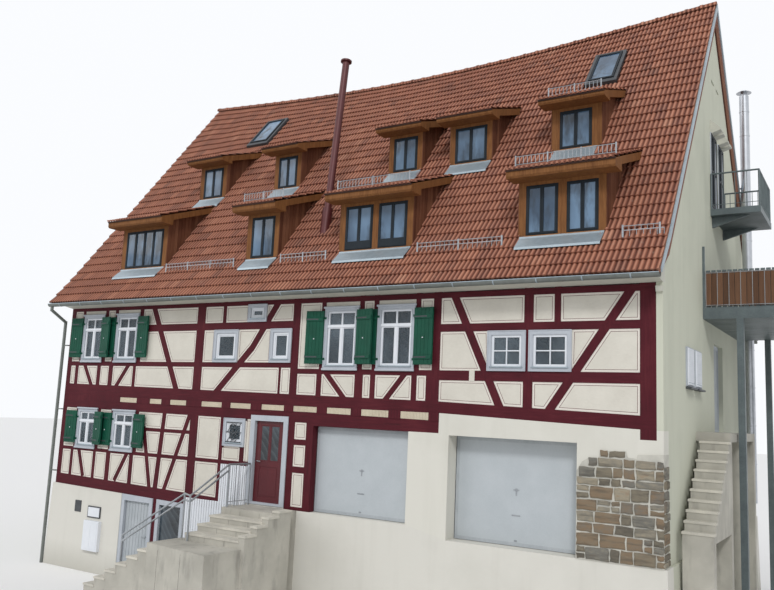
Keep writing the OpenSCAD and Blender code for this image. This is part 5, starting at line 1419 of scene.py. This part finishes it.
def shadeDormerEdges():
    shape = Shape()
    surface = surfaceOf("dormer_roofs")
    for solid in solidsOf("dormer_roofs"):
        if solid["size"].x < dormerEdge["smallest"]:
            continue
        toward = 1 if solid["mid"].y < 0 else -1
        y = solid["low" if toward > 0 else "high"].y
        x0, x1, inset = solid["low"].x, solid["high"].x, dormerEdge["in"]
        z0, z1 = (surface(x, y + toward * inset) for x in (x0 + inset, x1 - inset))
        ring = [(x0, y + toward * back, z0 + up) for back, up in dormerEdge["profile"]]
        shape.sweep(ring, (x1 - x0, 0, z1 - z0))
    shape.build("dormerEdgeShadows", tileEdgeShadow)


# Roof windows lie in the slope: a sheet flashing, a dark frame and a pane
skylightSizes = {"rim": 0.085, "top": 0.12, "apron": 0.14, "head": 0.09, "sash": 0.06, "proud": 0.025}


def frameSkylights():
    t = skylightSizes
    rim, top = t["rim"], t["top"]
    height = surfaceOf("roof_front")
    frames, sheets, glass = Shape(), Shape(), Shape()
    for s in skylights:
        low, high = s["low"], s["high"]
        middle = (low.x + high.x) / 2
        foot = Vector((low.x, low.y, height(middle, low.y)))
        along = Vector((0, high.y - low.y, height(middle, high.y) - foot.z))
        up, w, length = along.normalized(), high.x - low.x, along.length
        turn = localFrame(foot, (1, 0, 0), (0, up.z, -up.y), up)
        for x0, x1, z0, z1 in ((-rim, w + rim, -t["apron"], 0.0), (-rim, w + rim, length, length + t["head"]),
                               (-rim, 0.0, 0.0, length), (w, w + rim, 0.0, length)):
            sheets.box((x0, -top, z0), (x1, -0.02, z1), 0.008, turn)
        bars(frames, turn, 0, w, 0, length, -top - t["proud"], -0.03, edge=t["sash"])
        glass.box((0.05, -top, 0.05), (w - 0.05, 0.006 - top, length - 0.05), 0, turn)
    frames.build("skylightFrames", sashDark)
    sheets.build("skylightFlashings", darkMetal)
    glass.build("skylightPanes", skyPane)


# Straps and a front bead on both gutters
gutterSizes = {"bracket": 0.9, "end": 0.5, "deep": -545, "top": 7140, "radius": 0.0775, "half": 0.012,
               "thick": 0.004, "bead": 0.009, "bends": 10}


def hangGutter():
    t = gutterSizes
    shape = Shape()
    low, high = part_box("gutters")
    count = round((high.x - low.x) / t["bracket"])
    centre, top, r = at(0, t["deep"], 0).y, at(0, 0, t["top"]).z, t["radius"]
    half = Vector((t["half"], 0, 0))
    for side in (1, -1):
        for n in range(count):
            x = between(low.x + t["end"], high.x - t["end"], n, count - 1)
            middle = Vector((x, side * centre, top))
            ring = [Vector((x, side * (centre - math.cos(a) * r), top - math.sin(a) * r))
                    for a in (math.pi * k / t["bends"] for k in range(t["bends"] + 1))]
            for p, q in zip(ring, ring[1:]):
                outward = (p + q - 2 * middle).normalized()
                shape.sweep([p - half, p + half, q + half, q - half], outward * t["thick"])
        y, z = side * (centre - r), top + 0.004
        shape.tube([(low.x + 0.005, y, z), (high.x - 0.005, y, z)], t["bead"], 10)
    shape.build("roofSheet", zincSheet)


# Joints and straps of the upright flue
flueSizes = {"u": 16715, "d": 8692, "wall": 16460, "joint": 0.02, "collar": 0.016, "radius": 0.128,
             "wide": 0.133, "joints": [3.6 + n for n in range(10)] + [13.3], "straps": (5.1, 8.1, 11.1),
             "half": 0.02}


def dressFlues():
    t = flueSizes
    rings, straps = Shape(), Shape()
    x, y, wall = at(t["u"], 0, 0).x, at(0, t["d"], 0).y, at(t["wall"], 0, 0).x
    for z in t["joints"]:
        rings.tube([(x, y, z + rise) for rise in (-t["joint"], -t["collar"], t["collar"], t["joint"])],
                   [t["radius"], t["wide"], t["wide"], t["radius"]], 32)
    half = t["half"]
    for z in t["straps"]:
        straps.box((wall, y - half, z - half), (x, y + half, z + half), 0.004)
    rings.build("flueJoints", steelBright)
    straps.build("flueStraps", galvanised)


shadeDormerEdges()
dressGuards()
hangGutter()
frameSkylights()
dressFlues()
print("roof pieces added")

# Ribbed boards beside the entrance and over the bay beside the cellar doors
boardings = {"entranceBoards": {"left": 6085, "right": 6950, "foot": 2195, "head": 3118, "wall": 0,
                                "count": 13, "gap": 0.008, "proud": 0.024, "behind": 0.004, "cut": 0.004},
             "bayBoards": {"left": 5030, "right": 6390, "foot": 700, "head": 2235, "wall": -25,
                           "count": 17, "gap": 0.007, "proud": 0.014, "behind": 0.002, "cut": 0.003}}


def layBoarding(name):
    t = boardings[name]
    shape = Shape()
    low, high = at(t["left"], t["wall"], t["foot"]), at(t["right"], t["wall"], t["head"])
    for n in range(t["count"]):
        x0, x1 = (between(low.x, high.x, k, t["count"]) for k in (n, n + 1))
        shape.tint = dice.random()
        shape.box((x0 + t["gap"], low.y - t["proud"], low.z),
                  (x1 - t["gap"], low.y + t["behind"], high.z), t["cut"])
    shape.build(name, sashPaint)


# The end of the rail over the entrance boards and a dark sheet behind them, painted shade in the gaps between
# the boards, in survey millimetres:
# left, right, front, back, foot, head and cut
backings = {"railEnd": (6700, 6950, -22, 4, 3112, 3222, 6), "boardShade": (6091, 6944, -5, 3, 2199, 3114, 0)}


def backBoarding():
    for name, sizes in backings.items():
        shape = Shape()
        shape.boxAt(*sizes)
        shape.build(name, timberLevel)


# Boxes and plates on the base wall: left, right, foot, head in survey millimetres, then front, back, cut
wallBoxSizes = {"meterBox": (1450, 2050, 560, 1330, 0.1, -0.07, 0.008),
                "meterDoorLeft": (1490, 1740, 610, 1280, 0.106, 0.099, 0.004),
                "meterDoorRight": (1760, 2010, 610, 1280, 0.106, 0.099, 0.004),
                "letterFlap": (1510, 1960, 1430, 1670, 0.034, 0.029, 0.003)}
wallPlateSizes = {"letterPlate": (1480, 1990, 1400, 1700, 0.03, -0.07, 0.008),
                  "smallPlate": (930, 1180, 1500, 1800, 0.02, -0.07, 0.008)}


def hangOnBase(sizes, name, finish):
    shape = Shape()
    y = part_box("base_wall_front")[0].y
    for u0, u1, z0, z1, front, back, cut in sizes.values():
        low, high = at(u0, 0, z0), at(u1, 0, z1)
        shape.box((low.x, y - front, low.z), (high.x, y - back, high.z), cut)
    shape.build(name, finish)


layBoarding("entranceBoards")
backBoarding()
layBoarding("bayBoards")
hangOnBase(wallBoxSizes, "wallBoxes", sashPaint)
hangOnBase(wallPlateSizes, "wallPlates", darkMetal)
print("base dressed")

# Stairs: paler treads with a nosing, and the joints between the cast blocks
stairBits = {"proud": 0.006, "nose": 0.014, "thick": 0.045, "joint": 0.006, "block": 0.62, "end": 0.01}


def treadFinish():
    f = Finish("treadStone", "concrete", 0.25)
    cloud = f.noise(2.4, 5)
    grit = f.noise(60, 3)
    stone = f.mix((0.62, 0.59, 0.51), (0.47, 0.45, 0.395), f.spread(cloud, 0.36, 0.66))
    f.set(Base_Color=f.mix(stone, (0.2, 0.19, 0.17), f.spread(grit, 0.6, 0.78) * 0.4), Roughness=0.85,
          Normal=f.bump(grit * 0.5 + cloud * 0.4, 0.003))
    return f


def dirtFinish():
    f = Finish("jointDirt", "concrete")
    f.set(Base_Color=f.mix((0.12, 0.115, 0.1), (0.2, 0.19, 0.17), f.noise(12, 3)), Roughness=0.95)
    return f


treadStone, jointDirt = treadFinish(), dirtFinish()


# A tread stands over its step at the front and at both ends, not at the riser behind
def layTread(shape, points):
    b = stairBits
    middle = sum(points, Vector()) / len(points)
    shape.tint = dice.random()
    shape.sweep([(p.x + math.copysign(b["nose"], p.x - middle.x), p.y - (0 if p.y > middle.y else b["nose"]),
                  p.z + b["proud"]) for p in points], (0, 0, -b["thick"]))


def scoreRiser(shape, points):
    b = stairBits
    left, right, y = min(p.x for p in points), max(p.x for p in points), points[0].y
    count = round((right - left) / b["block"])
    for n in range(1, count):
        x = between(left, right, n, count)
        cuts = cutsOf(points, x)
        if len(cuts) >= 2:
            shape.box((x - b["joint"] / 2, y - 0.0015, cuts[0] + b["end"]),
                      (x + b["joint"] / 2, y + 0.001, cuts[-1] - b["thick"]), 0)


def dressStairs(node):
    treads, joints = Shape(), Shape()
    for points, normal in (face for solid in solidsOf(node) for face in solid["faces"]):
        if normal.z > house["straight"] and len(points) == 4:
            layTread(treads, points)
        elif normal.y < -house["straight"]:
            scoreRiser(joints, points)
    for shape, end, finish in ((treads, "Treads", treadStone), (joints, "Joints", jointDirt)):
        if shape.faces:
            shape.build(node + end, finish)


dressStairs("entrance_stair")
dressStairs("gable_stair")
print("stairs dressed")

# Right gable: hoods over the balcony doors, slatted leaves before the two narrow windows
hood = {"out": 0.24, "high": 0.34, "lip": 0.05, "thick": 0.04, "inset": 0.06}
slats = {"step": 0.045, "low": 4.5, "high": 6.2, "rim": 0.03, "sill": 0.05, "near": 0.012, "far": 0.05,
         "up": 0.02}


# Bars over the two leaves of a balcony door, with a small sloping hood over each
def balconyDoor(doorBars, hoods, ring, x):
    w, h = ring["size"].y, ring["size"].z
    turn = localFrame((ring["high"].x - 0.02, ring["low"].y, ring["low"].z), (0, 1, 0), (-1, 0, 0))
    for k in (0, 1):
        left = k * w / 2
        bars(doorBars, turn, left + 0.01, left + w / 2 - 0.01, 0.02, h - 0.02, -0.03, 0.012, 1, 2, 0.07, 0.05)
        y, top = ring["low"].y + left + hood["inset"], ring["high"].z
        profile = ((-0.01, hood["high"]), (hood["out"], hood["lip"] + hood["thick"]),
                   (hood["out"], hood["lip"]), (-0.01, -0.02))
        hoods.sweep([(x + out, y, top + up) for out, up in profile], (0, w / 2 - 2 * hood["inset"], 0))


def slattedLeaf(leaves, sheet, ring, x):
    low, rim, sill = ring["low"], slats["rim"], slats["sill"]
    turn = localFrame((x, low.y + rim, low.z + slats["up"]), (0, 1, 0), (-1, 0, 0))
    w, h = ring["size"].y - 2 * rim, ring["size"].z - 2 * slats["up"]
    leaves.box((0, -slats["far"], 0), (w, -slats["near"], h), 0.006, turn)
    count = round(h / slats["step"])
    for n in range(count):
        z = h * (n + 0.5) / count
        leaves.box((rim, -0.058, z - 0.014), (w - rim, -0.046, z + 0.012), 0.004, turn)
    sheet.box((-sill, -0.11, -0.075), (w + sill, 0.02, -0.035), 0.006, turn)


def dressGable():
    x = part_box("right_gable_upper")[1].x
    doorBars, hoods, leaves, sheet = Shape(), Shape(), Shape(), Shape()
    for ring in solidsOf("window_frames"):
        low = ring["low"]
        if low.x < places["gable"] or ring["size"].x > 0.2:
            continue
        if ring["size"].z > 1.6 and low.z > 9:
            balconyDoor(doorBars, hoods, ring, x)
        elif slats["low"] < low.z < slats["high"] and low.y < -1:
            slattedLeaf(leaves, sheet, ring, x)
    doorBars.build("balconyDoorBars", sashDark)
    hoods.build("balconyHoods", eavesPaint)
    leaves.build("gableShutters", sashPaint)
    sheet.build("gableSills", darkMetal)


# The end of the eaves rests on a small corbel at the corner
corbel = {"side": 0.115, "wide": 0.12, "foot": 6890,
          "profile": ((-0.05, 0), (-0.085, 0.1), (0.01, 0.1), (0.01, 0))}


def setCorbel():
    x, y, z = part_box("right_gable_upper")[1].x - corbel["side"], at(0, 0, 0).y, at(0, 0, corbel["foot"]).z
    block = Shape()
    block.sweep([(x, y + out, z + up) for out, up in corbel["profile"]], (corbel["wide"], 0, 0))
    block.build("cornerCorbel", eavesPaint)


# Boards and rods of the terrace screen; places in survey millimetres
screen = {"left": 16530, "right": 18180, "near": 3720, "far": 8430, "foot": 7125, "head": 7870,
          "board": 0.115, "thick": 0.018, "rod": 0.012, "rodStep": 0.24, "gap": 0.004, "past": 0.02}


def terraceScreen():
    t = screen
    low, high = at(t["left"], t["near"], t["foot"]), at(t["right"], t["far"], t["head"])
    z0, z1, thick, rod = low.z, high.z, t["thick"], t["rod"]
    planks, rods = Shape(), Shape()
    for alongY, start, end, level, out in ((True, low.y, high.y, high.x, 1),
                                           (False, low.x, high.x, low.y, -1),
                                           (False, low.x, high.x, high.y, 1)):
        # A box from a to b along the side, and from near to far outward of it
        def lay(shape, a, b, near, far, foot, head):
            near, far = sorted((level + out * near, level + out * far))
            if alongY:
                shape.box((near, a, foot), (far, b, head), 0.003)
            else:
                shape.box((a, near, foot), (b, far, head), 0.003)

        count = round((end - start) / t["board"])
        for n in range(count):
            planks.tint = dice.random()
            a, b = (between(start, end, k, count) for k in (n, n + 1))
            lay(planks, a + t["gap"], b - t["gap"], t["gap"], t["gap"] + thick, z0, z1)
        count = round((end - start) / t["rodStep"])
        for n in range(count + 1):
            a = between(start, end, n, count)
            lay(rods, a - rod / 2, a + rod / 2, thick, thick + rod, z0 - t["past"], z1 + t["past"])
        for z in (z0 + 0.01, z1 - 0.02):
            lay(rods, start, end, thick, thick + rod * 1.2, z, z + rod)
    planks.build("terraceScreen", balconyWood)
    rods.build("terraceRods", galvanised)


dressGable()
setCorbel()
terraceScreen()
print("gable dressed")

# Stage: pale floor and a soft even light
stage = {"floor": (0.86, 0.855, 0.84), "skyReflection": (0.93, 0.95, 1.0), "skyPower": 0.62, "back": (0.96, 0.975, 1.0),
         "sunPower": 1.35, "fill": 0.35, "span": 300, "under": 0.002}


def lightWorld():
    world = bpy.data.worlds.new("studio")
    bpy.context.scene.world = world
    world.use_nodes = True
    nodes, link = world.node_tree.nodes, world.node_tree.links.new
    nodes.clear()
    ray = nodes.new("ShaderNodeLightPath")
    pick = nodes.new("ShaderNodeMixShader")
    out = nodes.new("ShaderNodeOutputWorld")
    # The camera, mirrors and glass see the plain backdrop
    seen = ray.outputs["Is Camera Ray"]
    for kind in ("Is Glossy Ray", "Is Transmission Ray"):
        either = nodes.new("ShaderNodeMath")
        either.operation = "MAXIMUM"
        link(seen, either.inputs[0])
        link(ray.outputs[kind], either.inputs[1])
        seen = either.outputs[0]
    link(seen, pick.inputs[0])
    for number, shade, power in ((1, stage["skyReflection"], stage["skyPower"]), (2, stage["back"], 1.0)):
        back = nodes.new("ShaderNodeBackground")
        back.inputs["Color"].default_value = (*shade, 1)
        back.inputs["Strength"].default_value = power
        link(back.outputs[0], pick.inputs[number])
    link(pick.outputs[0], out.inputs["Surface"])


def hangLamp(name, turn, power, wide):
    lamp = bpy.data.lights.new(name, "SUN")
    lamp.energy = power
    lamp.angle = math.radians(wide)
    newObject(name, lamp).rotation_euler = [math.radians(a) for a in turn]


def layFloor():
    half = stage["span"] / 2
    corners = ((-half, -half), (half, -half), (half, half), (-half, half))
    mesh = bpy.data.meshes.new("studioFloor")
    mesh.from_pydata([(*corner, -stage["under"]) for corner in corners], [], [(0, 1, 2, 3)])
    pale = Finish("studioFloor", None)
    pale.set(Base_Color=stage["floor"], Roughness=0.9)
    mesh.materials.append(pale.material)
    ground = newObject("studioFloor", mesh)


lightWorld()
hangLamp("keyLamp", (52, 0, 28), stage["sunPower"], 12)
hangLamp("fillLamp", (60, 0, -50), stage["sunPower"] * stage["fill"], 40)
layFloor()
bpy.context.scene.view_settings.view_transform = "Standard"
print("stage set")


def writeSizes():
    bpy.context.view_layer.update()


writeSizes()
